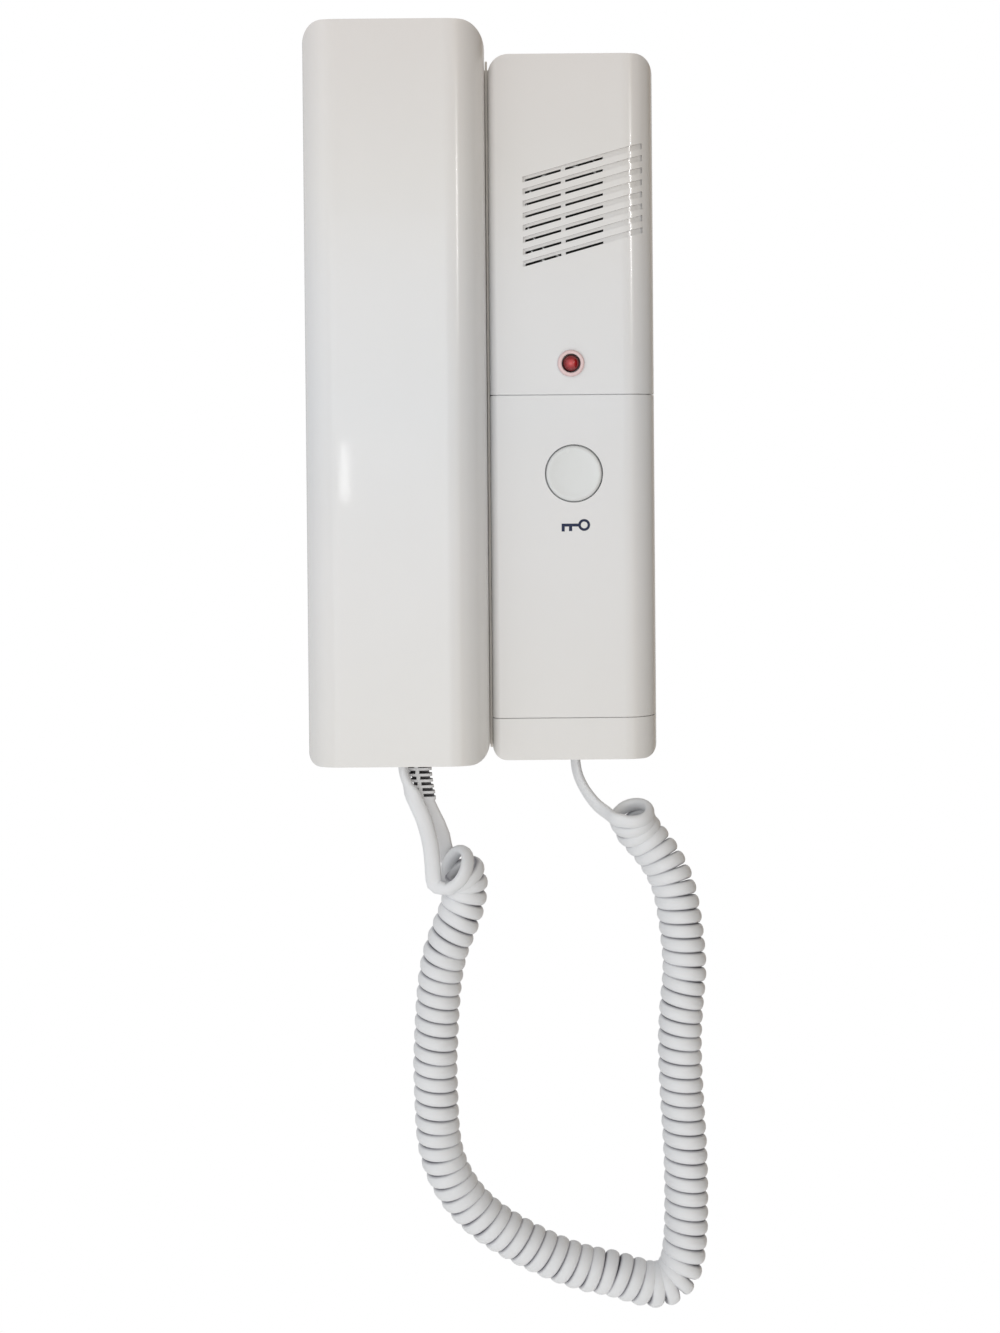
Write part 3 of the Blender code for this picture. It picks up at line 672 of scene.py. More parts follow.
def moulded_box(
    name: str,
    low: tuple[float, ...],
    high: tuple[float, ...],
    rounds: EdgeRounds,
    finish: object,
    steps: int = LONG_ROUND_STEPS,
) -> Object:
    """Make a box with rounds along its length, rounded corners seen from the front and eased ends.

    Args:
        name: The object's name.
        low: The lowest corner, in millimetres.
        high: The highest corner, in millimetres.
        rounds: The rounds.
        finish: The box's finish.
        steps: Steps across each long round.

    Returns:
        The object, with its rounds applied.
    """
    mid = (Vector(low) + Vector(high)) / 2 * MM
    plan = bmesh.new()
    add_block(plan, low, high)
    upright = [e for e in plan.edges if abs(e.verts[0].co.z - e.verts[1].co.z) > 1e-6]
    quarters = {}
    for edge in upright:
        at = edge.verts[0].co
        quarters[(at.y < mid.y, at.x < mid.x)] = edge
    for (front, left), edge in quarters.items():
        if front:
            size = rounds.front_left if left else rounds.front_right
        else:
            size = rounds.back_left if left else rounds.back_right
        round_edges(plan, [edge], size, steps)
    obj = make_object(name, plan, finish)
    face = bmesh.new()
    grown_low, grown_high = (low[0], low[1] - 1.0, low[2]), (high[0], high[1] + 1.0, high[2])
    add_block(face, grown_low, grown_high)
    deep = [e for e in face.edges if abs(e.verts[0].co.y - e.verts[1].co.y) > 1e-6]
    for edge in deep:
        at = edge.verts[0].co
        if at.z > mid.z:
            size = rounds.top_left if at.x < mid.x else rounds.top_right
        else:
            size = rounds.bottom_left if at.x < mid.x else rounds.bottom_right
        round_edges(face, [edge], size, CORNER_STEPS)
    combine(obj, face, Cut.MEET)
    if rounds.end_edge:
        soften_edges(obj, rounds.end_edge * MM, END_STEPS, END_ANGLE)
    return obj


def soften_edges(obj: Object, width: float, segments: int, angle: float) -> None:
    """Round every edge sharper than an angle.

    Args:
        obj: The object.
        width: The round, in metres.
        segments: Steps across it.
        angle: The angle, in degrees.
    """
    edge = obj.modifiers.new("edge", "BEVEL")
    edge.width = width
    edge.segments = segments
    edge.limit_method = "ANGLE"
    edge.angle_limit = math.radians(angle)
    edge.use_clamp_overlap = True
    settle(obj)


def copy_mesh(obj: Object) -> BMesh:
    """Return a copy of an object's mesh.

    Args:
        obj: The object.

    Returns:
        The copy.
    """
    bm = bmesh.new()
    bm.from_mesh(obj.data)
    return bm


def hollow_shell(
    name: str,
    form: Object,
    core: Object,
    cuts: list[tuple[tuple[float, ...], tuple[float, ...]]],
) -> Object:
    """Cut a hollow moulding out of a closed form.

    Args:
        name: The new object's name.
        form: The outer form, which is kept.
        core: The form of its hollow, which is kept.
        cuts: Blocks to cut away, as their lowest and highest corners in millimetres.

    Returns:
        The moulding.
    """
    mesh = form.data.copy()
    mesh.name = name
    shell = bpy.data.objects.new(name, mesh)
    bpy.context.scene.collection.objects.link(shell)
    combine(shell, copy_mesh(core), Cut.TAKE)
    for low, high in cuts:
        combine_block(shell, low, high)
    return shell


def add_slanted_bar(
    bm: BMesh, x0: float, x1: float, z: float, height: float, y0: float, y1: float, slope: float
) -> None:
    """Add a bar that rises to the right.

    Args:
        bm: The mesh to add to.
        x0: Left end, in millimetres.
        x1: Right end, in millimetres.
        z: Height of its middle, in millimetres.
        height: Its thickness, in millimetres.
        y0: Front, in millimetres.
        y1: Back, in millimetres.
        slope: Its rise per unit of length.
    """
    made = add_block(bm, (x0, y0, z - height / 2), (x1, y1, z + height / 2))
    middle = (x0 + x1) / 2 * MM
    for vert in made:
        vert.co.z += (vert.co.x - middle) * slope


# ---------------------------------------------------------------- base tower


@dataclass
class Tower:
    """Base tower and cradle: outer form cut into its mouldings at the two seams."""

    left: float = 3.0
    left_fillet: float = 2.4
    right: float = 51.2
    front: float = -34.0
    back: float = -6.0
    top: float = 102.2
    bottom: float = -102.2
    upper_seam: float = 3.7
    lower_seam: float = -90.0
    seam_gap: float = 0.26
    lip: float = 1.5
    lip_inset: float = 0.65
    wall: float = 2.0
    fillet: float = 9.75
    cradle_front: float = -14.0
    edge_round: float = 0.16
    cord_exit: Pair = (27.8, -12.0)
    form: Object = field(init=False, default=None)
    core: Object = field(init=False, default=None)

    def make_forms(self) -> None:
        """Make the closed outer form that the mouldings are cut from, and the form of its hollow."""
        self.form = self._inset_form("tower_form", 0.0)
        self.core = self._inset_form("tower_core", self.wall)

    def _inset_form(self, name: str, inset: float) -> Object:
        """Make the tower's closed form, drawn in by an inset and open-ended behind.

        Args:
            name: The form's name.
            inset: How far it lies inside the outer skin, in millimetres.

        Returns:
            The form.
        """
        rounds = EdgeRounds(
            self.left_fillet,
            self.fillet,
            top_left=6.0,
            top_right=5.5,
            bottom_left=4.2,
            bottom_right=4.2,
        ).inside(inset)
        rounds.end_edge = 0.0 if inset else 0.8
        low = (self.left + inset, self.front + inset, self.bottom + inset)
        high = (self.right - inset, self.back + (5.0 if inset else 0.0), self.top - inset)
        return moulded_box(name, low, high, rounds, SHELL)

    def _band(self, z0: float, z1: float, inset: float) -> Object:
        """Make a slice of the inset form, for the lips behind the seams.

        Args:
            z0: Its bottom, in millimetres.
            z1: Its top, in millimetres.
            inset: How far it lies inside the outer skin, in millimetres.

        Returns:
            The slice, as a closed object.
        """
        band = self._inset_form("seam_band", inset)
        combine_block(band, (-60.0, -60.0, z0), (100.0, self.back, z1), Cut.MEET)
        return band

    def _rebate(self, cover: Object, seam: float) -> None:
        """Cut the step that takes the next moulding's lip.

        Args:
            cover: The moulding above the seam.
            seam: The seam's height, in millimetres.
        """
        band = self._band(seam - 1.0, seam + self.lip + 0.15, self.lip_inset - 0.05)
        combine(cover, copy_mesh(band), Cut.TAKE)
        remove(band)

    def _add_lip(self, cover: Object, seam: float) -> None:
        """Add the lip that stands behind the moulding above.

        Args:
            cover: The moulding below the seam.
            seam: The seam's height, in millimetres.
        """
        band = self._band(seam - 1.2, seam + self.lip, self.lip_inset + 0.05)
        combine(band, copy_mesh(self.core), Cut.TAKE)
        combine(cover, copy_mesh(band), Cut.JOIN)
        remove(band)

    def drop_forms(self) -> None:
        """Remove the forms once the mouldings are cut."""
        remove(self.form, self.core)

    def _moulding(self, name: str, low: float | None, high: float | None) -> Object:
        """Cut one moulding out of the outer form.

        Args:
            name: The moulding's name.
            low: Its lower seam, or None at the tower's bottom.
            high: Its upper seam, or None at the tower's top.

        Returns:
            The hollow moulding.
        """
        cuts = []
        if low is not None:
            cuts.append(((-60.0, -60.0, -200.0), (100.0, 10.0, low + self.seam_gap / 2)))
        if high is not None:
            cuts.append(((-60.0, -60.0, high - self.seam_gap / 2), (100.0, 10.0, 200.0)))
        return hollow_shell(name, self.form, self.core, cuts)

    def _notch(self, obj: Object) -> None:
        """Shorten a moulding's left wall so that it stands on the cradle plate.

        Args:
            obj: The moulding.
        """
        low = (self.left - 2, self.cradle_front - 0.3, self.bottom - 5)
        combine_block(obj, low, (self.left + 2.4, 0, self.top + 5))

    def _bore(self, cover: Object, x: float, z: float, radius: float, steps: int = 48) -> None:
        """Cut a round hole through a moulding's face.

        Args:
            cover: The moulding.
            x: The hole's place across, in millimetres.
            z: Its height, in millimetres.
            radius: Its radius, in millimetres.
            steps: Steps round it.
        """
        combine_turned(cover, (x, self.front, z), [(0, -2), (radius, -2), (radius, 4), (0, 4)], steps)

    def upper(self, grille: "Grille", lamp: "Lamp") -> None:
        """Make the upper cover.

        Args:
            grille: The slots and grooves to cut.
            lamp: The lamp whose hole to cut.
        """
        cover = self._moulding("tower_upper_cover", self.upper_seam, None)
        self._rebate(cover, self.upper_seam)
        self._notch(cover)
        grille.cut(cover, self)
        self._bore(cover, lamp.x, lamp.z, lamp.hole)
        soften(cover, self.edge_round * MM)
        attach(cover, "base")
        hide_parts("upper_cover")
        LOG.info("upper cover: %d faces", len(cover.data.polygons))

    def lower(self, button: "DoorButton") -> None:
        """Make the lower cover.

        Args:
            button: The button whose hole to cut.
        """
        cover = self._moulding("tower_lower_cover", self.lower_seam, self.upper_seam)
        self._rebate(cover, self.lower_seam)
        self._add_lip(cover, self.upper_seam)
        self._notch(cover)
        self._bore(cover, button.x, button.z, button.hole, 72)
        soften(cover, self.edge_round * MM)
        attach(cover, "base")
        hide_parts("lower_cover")
        LOG.info("lower cover: %d faces", len(cover.data.polygons))

    def bottom_end(self) -> None:
        """Make the tower's bottom end, whose moulding carries the cradle plate."""
        end = self._moulding("tower_bottom_end", None, self.lower_seam)
        self._add_lip(end, self.lower_seam)
        self._notch(end)
        drill_upright(end, self.cord_exit, CORD_HOLE, -105.0, -98.0)
        soften(end, self.edge_round * MM)
        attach(end, "base")
        LOG.info("bottom end: %d faces", len(end.data.polygons))


@dataclass
class Grille:
    """Slanted sound slots, each at the foot of a shallow groove that runs on round the side."""

    rows: int = 8
    pitch: float = 3.48
    middle_x: float = 24.5
    middle_z: float = 56.6
    slope: float = math.tan(math.radians(15.7))
    columns: tuple[Pair, ...] = ((13.6, 24.0), (25.3, 36.2))
    groove_left: float = 12.9
    groove_right: float = 47.6
    groove_height: float = 1.65
    groove_depth: float = 0.95
    groove_rise: float = 0.4
    slot_height: float = 0.72
    cut_front: float = -36.0
    groove_back: float = -26.0
    slot_back: float = -30.0

    def cut(self, cover: Object, tower: Tower) -> None:
        """Cut the grooves and the slots.

        Args:
            cover: The upper cover.
            tower: The tower, for its outline.
        """
        core = moulded_box(
            "groove_core",
            (tower.left + self.groove_depth, tower.front + self.groove_depth, tower.bottom),
            (tower.right - self.groove_depth, tower.back + 5.0, tower.top),
            EdgeRounds(tower.left_fillet - self.groove_depth, tower.fillet - self.groove_depth),
            SHELL,
        )
        for row in range(self.rows):
            z = self.middle_z + self.pitch * ((self.rows - 1) / 2 - row)
            left, right = self.groove_left, self.groove_right
            mid = z + self.slope * ((left + right) / 2 - self.middle_x) + self.groove_rise
            bm = bmesh.new()
            add_slanted_bar(bm, left, right, mid, self.groove_height, self.cut_front, self.groove_back, self.slope)
            bar = make_object("groove_bar", bm, SHELL)
            combine(bar, copy_mesh(core), Cut.TAKE)
            combine(cover, copy_mesh(bar), Cut.TAKE)
            remove(bar)
        remove(core)
        slots = bmesh.new()
        for row in range(self.rows):
            z = self.middle_z + self.pitch * ((self.rows - 1) / 2 - row)
            for x0, x1 in self.columns:
                mid = z + self.slope * ((x0 + x1) / 2 - self.middle_x)
                add_slanted_bar(slots, x0, x1, mid, self.slot_height, self.cut_front, self.slot_back, self.slope)
        combine(cover, slots, Cut.TAKE)


@dataclass
class Cradle:
    """Plate behind the handset, with its side walls, rest ledge and lever slot."""

    left: float = -47.0
    right: float = 5.0
    front: float = -14.0
    back: float = -6.0
    top: float = 101.3
    bottom: float = -100.3
    wall: float = 2.0
    ridge_front: float = -30.5
    lever_slot: tuple[Triple, Triple] = ((-27.0, -15.0, 31.0), (-21.0, -11.0, 47.0))

    def build(self) -> None:
        """Make the cradle plate."""
        rounds = EdgeRounds(1.6, 0.0, top_left=2.0, bottom_left=2.0, end_edge=0.7)
        low, high = (self.left, self.front, self.bottom), (self.right + 4.0, self.back, self.top)
        form = moulded_box("cradle_form", low, high, rounds, CRADLE, 6)
        low = (self.left + self.wall, self.front + self.wall, self.bottom + self.wall)
        high = (self.right + 8.0, self.back + 5.0, self.top - self.wall)
        core = moulded_box("cradle_core", low, high, EdgeRounds(0.0, 0.0), CRADLE, 6)
        plate = hollow_shell("cradle_plate", form, core, [((self.right, -60.0, -200.0), (100.0, 10.0, 200.0))])
        remove(form, core)
        sunk = self.front + 1.0
        combine_block(plate, *self.lever_slot)
        combine_block(plate, (-36.0, -19.0, 57.4), (-12.0, sunk, 60.7), Cut.JOIN)
        ridge_low = (2.3, self.ridge_front, self.bottom + 1.5)
        combine_block(plate, ridge_low, (2.95, sunk, self.top - 0.6), Cut.JOIN)
        soften(plate, 0.3 * MM)
        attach(plate, "base")
        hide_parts("cradle_cover")
        LOG.info("cradle plate: %d faces", len(plate.data.polygons))


# ---------------------------------------------------------------- handset


@dataclass
class Handset:
    """Handset shells, cut from one outer form at the parting line."""

    left: float = -50.1
    right: float = 2.1
    front: float = -46.5
    back: float = -20.0
    part: float = -33.0
    top: float = 110.0
    bottom: float = -102.0
    wall: float = 2.0
    middle: float = -24.0
    ear: Pair = (78.0, 17.0)
    mouth: Pair = (-78.0, 15.0)
    screws: Pair = (35.0, -28.0)
    cord_exit: Pair = (-23.4, -30.5)
    post_radius: float = 3.2
    post_length: float = 23.2
    post_middle: float = -33.9
    boss_start: float = -21.0
    hollow_start: float = -23.0
    hole_start: float = -18.2
    hole_radius: float = 1.1
    hole_depth: float = 5.2
    hole_ring: float = 0.36
    edge_round: float = 0.18

    def build(self) -> None:
        """Make both shells."""
        rounds = EdgeRounds(9.5, 12.0, 4.0, 4.0, top_left=6.0, top_right=7.0, bottom_left=3.8, bottom_right=5.5)
        rounds.end_edge = 0.8
        low, high = (self.left, self.front, self.bottom), (self.right, self.back, self.top)
        form = moulded_box("handset_form", low, high, rounds, HANDSET_SHELL)
        w = self.wall
        low, high = (low[0] + w, low[1] + w, low[2] + w), (high[0] - w, high[1] - w, high[2] - w)
        core = moulded_box("handset_core", low, high, rounds.inside(w), HANDSET_SHELL)
        self._front(form, core)
        self._rear(form, core)
        remove(form, core)

    def _front(self, form: Object, core: Object) -> None:
        """Cut the front shell and add its posts.

        Args:
            form: The handset's outer form.
            core: The form of its hollow.
        """
        cuts = [((-100.0, self.part - 0.15, -200.0), (100.0, 10.0, 200.0))]
        shell = hollow_shell("handset_front", form, core, cuts)
        bm = bmesh.new()
        radius = self.post_radius * MM
        post = {"segments": 24, "radius1": radius, "radius2": radius, "depth": self.post_length * MM}
        turned = Matrix.Rotation(math.pi / 2, 4, "X")
        for z in self.screws:
            place = Matrix.Translation(Vector((self.middle, self.post_middle, z)) * MM) @ turned
            bmesh.ops.create_cone(bm, cap_ends=True, matrix=place, **post)
        combine(shell, bm, Cut.JOIN)
        bm = bmesh.new()
        for z in self.screws:
            add_turned(bm, (self.middle, -36.0, z), [(0, 0), (1.5, 0), (1.5, 16), (0, 16)], 16)
        combine(shell, bm, Cut.TAKE)
        soften(shell, self.edge_round * MM)
        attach(shell, "handset")
        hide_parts("handset_front_shell")
        LOG.info("handset front: %d faces", len(shell.data.polygons))

    def _rear(self, form: Object, core: Object) -> None:
        """Cut the rear shell, with its ear and mouth bosses and holes.

        Args:
            form: The handset's outer form.
            core: The form of its hollow.
        """
        cuts = [((-100.0, -60.0, -200.0), (100.0, self.part + 0.15, 200.0))]
        shell = hollow_shell("handset_rear", form, core, cuts)
        for z, radius in (self.ear, self.mouth):
            boss = [(0, 0), (radius, 0), (radius, 5.3), (radius - 1.2, 6.5), (0, 6.5)]
            combine_turned(shell, (self.middle, self.boss_start, z), boss, 64, Cut.JOIN)
            hollow = [(0, 0), (radius - 2, 0), (radius - 2, 6.5), (0, 6.5)]
            combine_turned(shell, (self.middle, self.hollow_start, z), hollow, 64)
            reach = radius * self.hole_ring
            spots = [(0.0, 0.0)]
            for k in range(6):
                spots.append((reach * math.cos(k * math.pi / 3), reach * math.sin(k * math.pi / 3)))
            hole = [(0, 0), (self.hole_radius, 0), (self.hole_radius, self.hole_depth), (0, self.hole_depth)]
            bm = bmesh.new()
            for dx, dz in spots:
                add_turned(bm, (self.middle + dx, self.hole_start, z + dz), hole, 18)
            combine(shell, bm, Cut.TAKE)
        bm = bmesh.new()
        for z in self.screws:
            outline = [(0, 0), (1.5, 0), (1.5, 1.8), (2.9, 1.8), (2.9, 4), (0, 4)]
            add_turned(bm, (self.middle, self.hollow_start, z), outline, 24)
        combine(shell, bm, Cut.TAKE)
        drill_upright(shell, self.cord_exit, CORD_HOLE, -104.0, -98.5)
        soften(shell, self.edge_round * MM)
        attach(shell, "handset")
        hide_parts("handset_rear_shell")
        LOG.info("handset rear: %d faces", len(shell.data.polygons))


# ---------------------------------------------------------------- lamp, button, sign


@dataclass
class Lamp:
    """Indicator lamp dome in its bezel ring."""

    x: float = 26.5
    z: float = 12.8
    front: float = -34.0
    hole: float = 3.4

    def build(self) -> None:
        """Make the bezel and the dome."""
        bm = bmesh.new()
        ring = [(2.75, -0.75), (3.0, -0.95), (3.4, -0.95), (3.75, -0.75)]
        ring += [(3.9, -0.3), (3.1, -0.3), (3.1, 3.0), (2.75, 3.0)]
        add_turned(bm, (self.x, self.front, self.z), ring, 56, True)
        bezel = make_object("lamp_ring", bm, BEZEL)
        soften(bezel, 0.0)
        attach(bezel, "base")
        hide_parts("lamp_bezel")
        bm = bmesh.new()
        dome = [(0, -2.1), (0.6, -2.04), (1.2, -1.84), (1.75, -1.45), (2.15, -0.9), (2.38, -0.3), (2.45, 0.4)]
        dome += [(2.45, 3.4), (2.9, 3.4), (2.9, 4.6), (0, 4.6)]
        add_turned(bm, (self.x, self.front, self.z), dome, 48)
        lens = make_object("lamp_dome", bm, LampRed())
        soften(lens, 0.0)
        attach(lens, "base")
        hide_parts("lamp_lens")
        LOG.info("lamp: ring and dome")


@dataclass
class DoorButton:
    """Round door button with a shallow dish."""

    x: float = 27.1
    z: float = -19.1
    radius: float = 8.1
    hole: float = 8.42
    front: float = -34.0

    def build(self) -> None:
        """Make the button's cap and stem."""
        bm = bmesh.new()
        outline = [(0, -0.22), (3.0, -0.24), (5.2, -0.30), (6.5, -0.40), (7.1, -0.50), (7.5, -0.48), (7.85, -0.30)]
        outline += [(self.radius, 0.05), (self.radius, 2.3), (9.3, 2.3), (9.3, 3.3), (2.0, 3.3), (2.0, 11.3), (0, 11.3)]
        add_turned(bm, (self.x, self.front, self.z), outline, 96)
        cap = make_object("door_button_cap", bm, BUTTON)
        soften(cap, 0.0)
        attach(cap, "door_button")
        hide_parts("door_button")
        LOG.info("door button: %d faces", len(cap.data.polygons))

    def spring(self, node: Object) -> None:
        """Make the button's spring as a copy of the frame's spring.

        Args:
            node: The spring of the frame.
        """
        spring = make_object("door_button_spring", copy_mesh(node), STEEL)
        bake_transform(spring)
        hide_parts("button_spring")
        LOG.info("button spring: %d faces", len(spring.data.polygons))


@dataclass
class KeySign:
    """Printed key sign under the button, a thin film of ink."""

    bow: Pair = (29.95, -34.05)
    bow_radius: float = 1.72
    bow_hole: float = 0.98
    shaft_left: float = 23.4
    shaft_height: float = 0.85
    front: float = -34.0
    film: float = 0.04
    teeth: tuple[Triple, ...] = ((0.0, 0.9, 1.85), (2.15, 3.05, 1.75))

    def build(self) -> None:
        """Make the sign."""
        x, z = self.bow
        half = self.shaft_height / 2
        back, face = self.front + 0.02, self.front - self.film
        bm = bmesh.new()
        ring = [(self.bow_hole, back), (self.bow_hole, face), (self.bow_radius, face), (self.bow_radius, back)]
        add_turned(bm, (x, 0.0, z), ring, 40, True)
        sign = make_object("key_sign", bm, INK)
        bars = [(self.shaft_left, x - self.bow_hole - 0.2, z - half, z + half)]
        for start, end, length in self.teeth:
            bars.append((self.shaft_left + start, self.shaft_left + end, z - length, z))
        for x0, x1, z0, z1 in bars:
            combine_block(sign, (x0, face, z0), (x1, back, z1), Cut.JOIN)
        soften(sign, 0.0)
        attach(sign, "base")
        LOG.info("key sign")


# ---------------------------------------------------------------- cord


def running_lengths(points: list[Vector]) -> list[float]:
    """Return the length of a line up to each of its points.

    Args:
        points: The line's points.

    Returns:
        One length for each point, from 0.
    """
    lengths = [0.0]
    for a, b in zip(points, points[1:]):
        lengths.append(lengths[-1] + (b - a).length)
    return lengths


def even_steps(lengths: list[float], count: int) -> Iterator[tuple[int, float]]:
    """Go along a line in equal steps.

    Args:
        lengths: The rising measure at each of the line's points.
        count: The number of steps.

    Yields:
        The point before each step's place, and the place's share of the way to the next point.
    """
    at = 0
    for k in range(count + 1):
        want = lengths[-1] * k / count
        while at < len(lengths) - 2 and lengths[at + 1] < want:
            at += 1
        yield at, (want - lengths[at]) / (lengths[at + 1] - lengths[at])


def squared(value: float, power: float) -> float:
    """Return a sine or cosine pushed outwards, for a section between round and square."""
    return math.copysign(abs(value) ** power, value)


def skin_rings(bm: BMesh, rings: list[list[bmesh.types.BMVert]]) -> None:
    """Close a tube over its rings.

    Args:
        bm: The mesh the rings are in.
        rings: The rings, in order, with the same number of vertices each.
    """
    for low, high in zip(rings, rings[1:]):
        for n in range(len(low)):
            m = (n + 1) % len(low)
            bm.faces.new((low[n], low[m], high[m], high[n]))
    bm.faces.new(rings[0])
    bm.faces.new(rings[-1])
    bmesh.ops.recalc_face_normals(bm, faces=bm.faces)


def smooth_route(points: tuple[Triple, ...], spacing: float) -> list[Vector]:
    """Return evenly spaced points on a smooth curve through a route's own points.

    Args:
        points: The route, in millimetres.
        spacing: The distance between the new points, in millimetres.

    Returns:
        The new points, in millimetres.
    """
    knots = [Vector(p) for p in points]
    knots = [2 * knots[0] - knots[1]] + knots + [2 * knots[-1] - knots[-2]]
    fine = []
    for p0, p1, p2, p3 in zip(knots, knots[1:], knots[2:], knots[3:]):
        for k in range(SPAN_STEPS):
            t = k / SPAN_STEPS
            a = 2 * p1 + (p2 - p0) * t
            b = (2 * p0 - 5 * p1 + 4 * p2 - p3) * t * t
            c = (3 * p1 - p0 - 3 * p2 + p3) * t * t * t
            fine.append((a + b + c) / 2)
    fine.append(knots[-2])
    lengths = running_lengths(fine)
    count = max(2, round(lengths[-1] / spacing))
    return [fine[at].lerp(fine[at + 1], share) for at, share in even_steps(lengths, count)]


def turned_by(way: Vector, along: Vector, out: Vector) -> float:
    """Return how far a direction is turned about a line.

    Args:
        way: The direction.
        along: The line's direction.
        out: The direction that counts as unturned.

    Returns:
        The angle, in radians.
    """
    return math.atan2(way.dot(along.cross(out)), way.dot(out))


@dataclass
class CurlyCord:
    """Flat cord: a lead out of the base, a hanging coil and a lead into the handset."""

    width: float = 4.2
    thick: float = 2.85
    coil_radius: float = 5.2
    pitch: float = 4.27
    per_turn: int = 24
    section_steps: int = 16
    bend_crowding: float = 0.35
    mouth_growth: float = 0.16
    twist_from: float = 115.0
    twist_run: float = 8.0
    fine_step: float = 0.25
    lead_step: float = 1.3
    run_in: float = 2.5
    run_out: float = 1.6
    tangent_reach: int = 6
    bend_reach: int = 8
    facing_reach: int = 7
    grown_turns: Pair = (4.0, 1.5)
    base_growth: float = 0.45
    # Painted shade between turns: none for the first turns at each mouth, fading in over more turns, on the section's
    # sides.
    unshaded_turns: float = 0.7
    shade_fade_turns: float = 0.6
    shade_from: float = 0.80
    shade_run: float = 0.19
    squareness: float = 0.96
    lead_widening: float = 0.12
    base_facing: Triple = (-0.48, -0.78, -0.40)
    handset_facing: Triple = (-0.08, -0.64, -0.77)
    base_lead: tuple = (
        (27.8, -12.0, -86.0), (27.8, -12.0, -95.0), (27.8, -12.0, -104.0), (28.5, -12.0, -109.6),
        (30.7, -12.3, -114.5), (34.0, -13.6, -118.8), (37.4, -16.4, -121.2),
    )
    coil: tuple = (
        (44.2, -15.8, -120.2), (44.7, -14.4, -123.0), (46.0, -13.2, -125.8), (48.6, -12.6, -129.2),
        (51.9, -12.8, -133.4), (54.8, -13.2, -138.2), (56.9, -13.6, -143.4), (58.3, -14.0, -150.0),
        (59.4, -14.4, -158.5), (60.0, -14.7, -168.5), (58.9, -15.0, -180.5), (58.4, -15.2, -192.0),
        (58.9, -15.5, -207.0), (59.7, -16.0, -222.0), (59.9, -16.2, -237.0), (59.5, -16.5, -248.5),
        (58.1, -16.7, -257.0), (54.7, -17.0, -261.6), (49.6, -17.2, -262.6), (44.3, -17.5, -261.2),
        (37.1, -18.0, -258.8), (29.4, -18.5, -257.0), (20.9, -19.0, -253.8), (13.1, -19.3, -250.0),
        (5.2, -19.6, -245.4), (-1.0, -20.0, -240.8), (-6.3, -20.2, -235.3), (-10.4, -20.6, -228.8),
        (-13.0, -21.0, -222.0), (-14.2, -21.3, -215.0), (-14.6, -21.7, -207.5), (-14.9, -22.2, -194.4),
        (-14.6, -22.6, -187.0), (-14.1, -23.0, -178.0), (-13.2, -23.5, -168.5), (-11.7, -24.1, -160.7),
        (-9.3, -24.7, -154.0), (-7.1, -25.0, -148.5), (-5.7, -25.3, -143.0), (-5.5, -25.8, -138.8),
        (-6.6, -27.2, -135.9), (-9.3, -29.2, -134.3),
    )
    handset_lead: tuple = (
        (-14.1, -30.5, -139.3), (-14.8, -30.6, -136.2), (-15.0, -30.7, -132.6), (-15.6, -30.7, -127.0),
        (-17.2, -30.7, -120.5), (-19.3, -30.7, -115.4), (-21.6, -30.7, -110.4), (-23.1, -30.6, -106.0),
        (-23.4, -30.5, -101.0), (-23.4, -30.5, -94.0),
    )

    def _coil_points(self) -> tuple[list[Vector], list[Vector]]:
        """Work out the helix round the coil's middle line.

        Returns:
            The helix's points in millimetres, and the way its flat side faces at each.
        """
        middle = smooth_route(self.coil, self.fine_step)
        lengths = running_lengths(middle)
        tangents = []
        last_one = len(middle) - 1
        for k in range(len(middle)):
            a, b = middle[max(0, k - self.tangent_reach)], middle[min(last_one, k + self.tangent_reach)]
            tangents.append((b - a).normalized())
        side = Vector((0.0, -1.0, 0.0))
        side = (side - tangents[0] * side.dot(tangents[0])).normalized()
        sides = [side]
        for before, after in zip(tangents, tangents[1:]):
            turn = before.rotation_difference(after)
            side = turn @ side
            side = (side - after * side.dot(after)).normalized()
            sides.append(side)
        crowd = [0.0]
        for k in range(1, len(middle)):
            before, after = max(0, k - self.bend_reach), min(last_one, k + self.bend_reach)
            bend = tangents[before].angle(tangents[after]) / (lengths[after] - lengths[before])
            step = lengths[k] - lengths[k - 1]
            crowd.append(crowd[-1] + step * (1.0 + self.bend_crowding * self.coil_radius * bend))
        start = turned_by(Vector(self.base_facing), tangents[0], sides[0])
        end = turned_by(Vector(self.handset_facing), tangents[-1], sides[-1])
        whole = round(crowd[-1] / self.pitch - (start - end) / math.tau)
        turns = whole + (start - end) / math.tau
        count = round(turns * self.per_turn)
        points, faces = [], []
        for k, (at, share) in enumerate(even_steps(crowd, count)):
            run = lengths[at] + share * (lengths[at + 1] - lengths[at])
            angle = start - math.tau * turns * k / count
            along, out = tangents[at], sides[at]
            facing = out * math.cos(angle) + along.cross(out) * math.sin(angle)
            last = max(0.0, 1.0 - (count - k) / (self.per_turn * self.grown_turns[1]))
            first = max(0.0, 1.0 - k / (self.per_turn * self.grown_turns[0]))
            radius = self.coil_radius * (1.0 + self.mouth_growth * (last + self.base_growth * first))
            points.append(middle[at] + along * (run - lengths[at]) + facing * radius)
            faces.append(facing)
        return points, faces

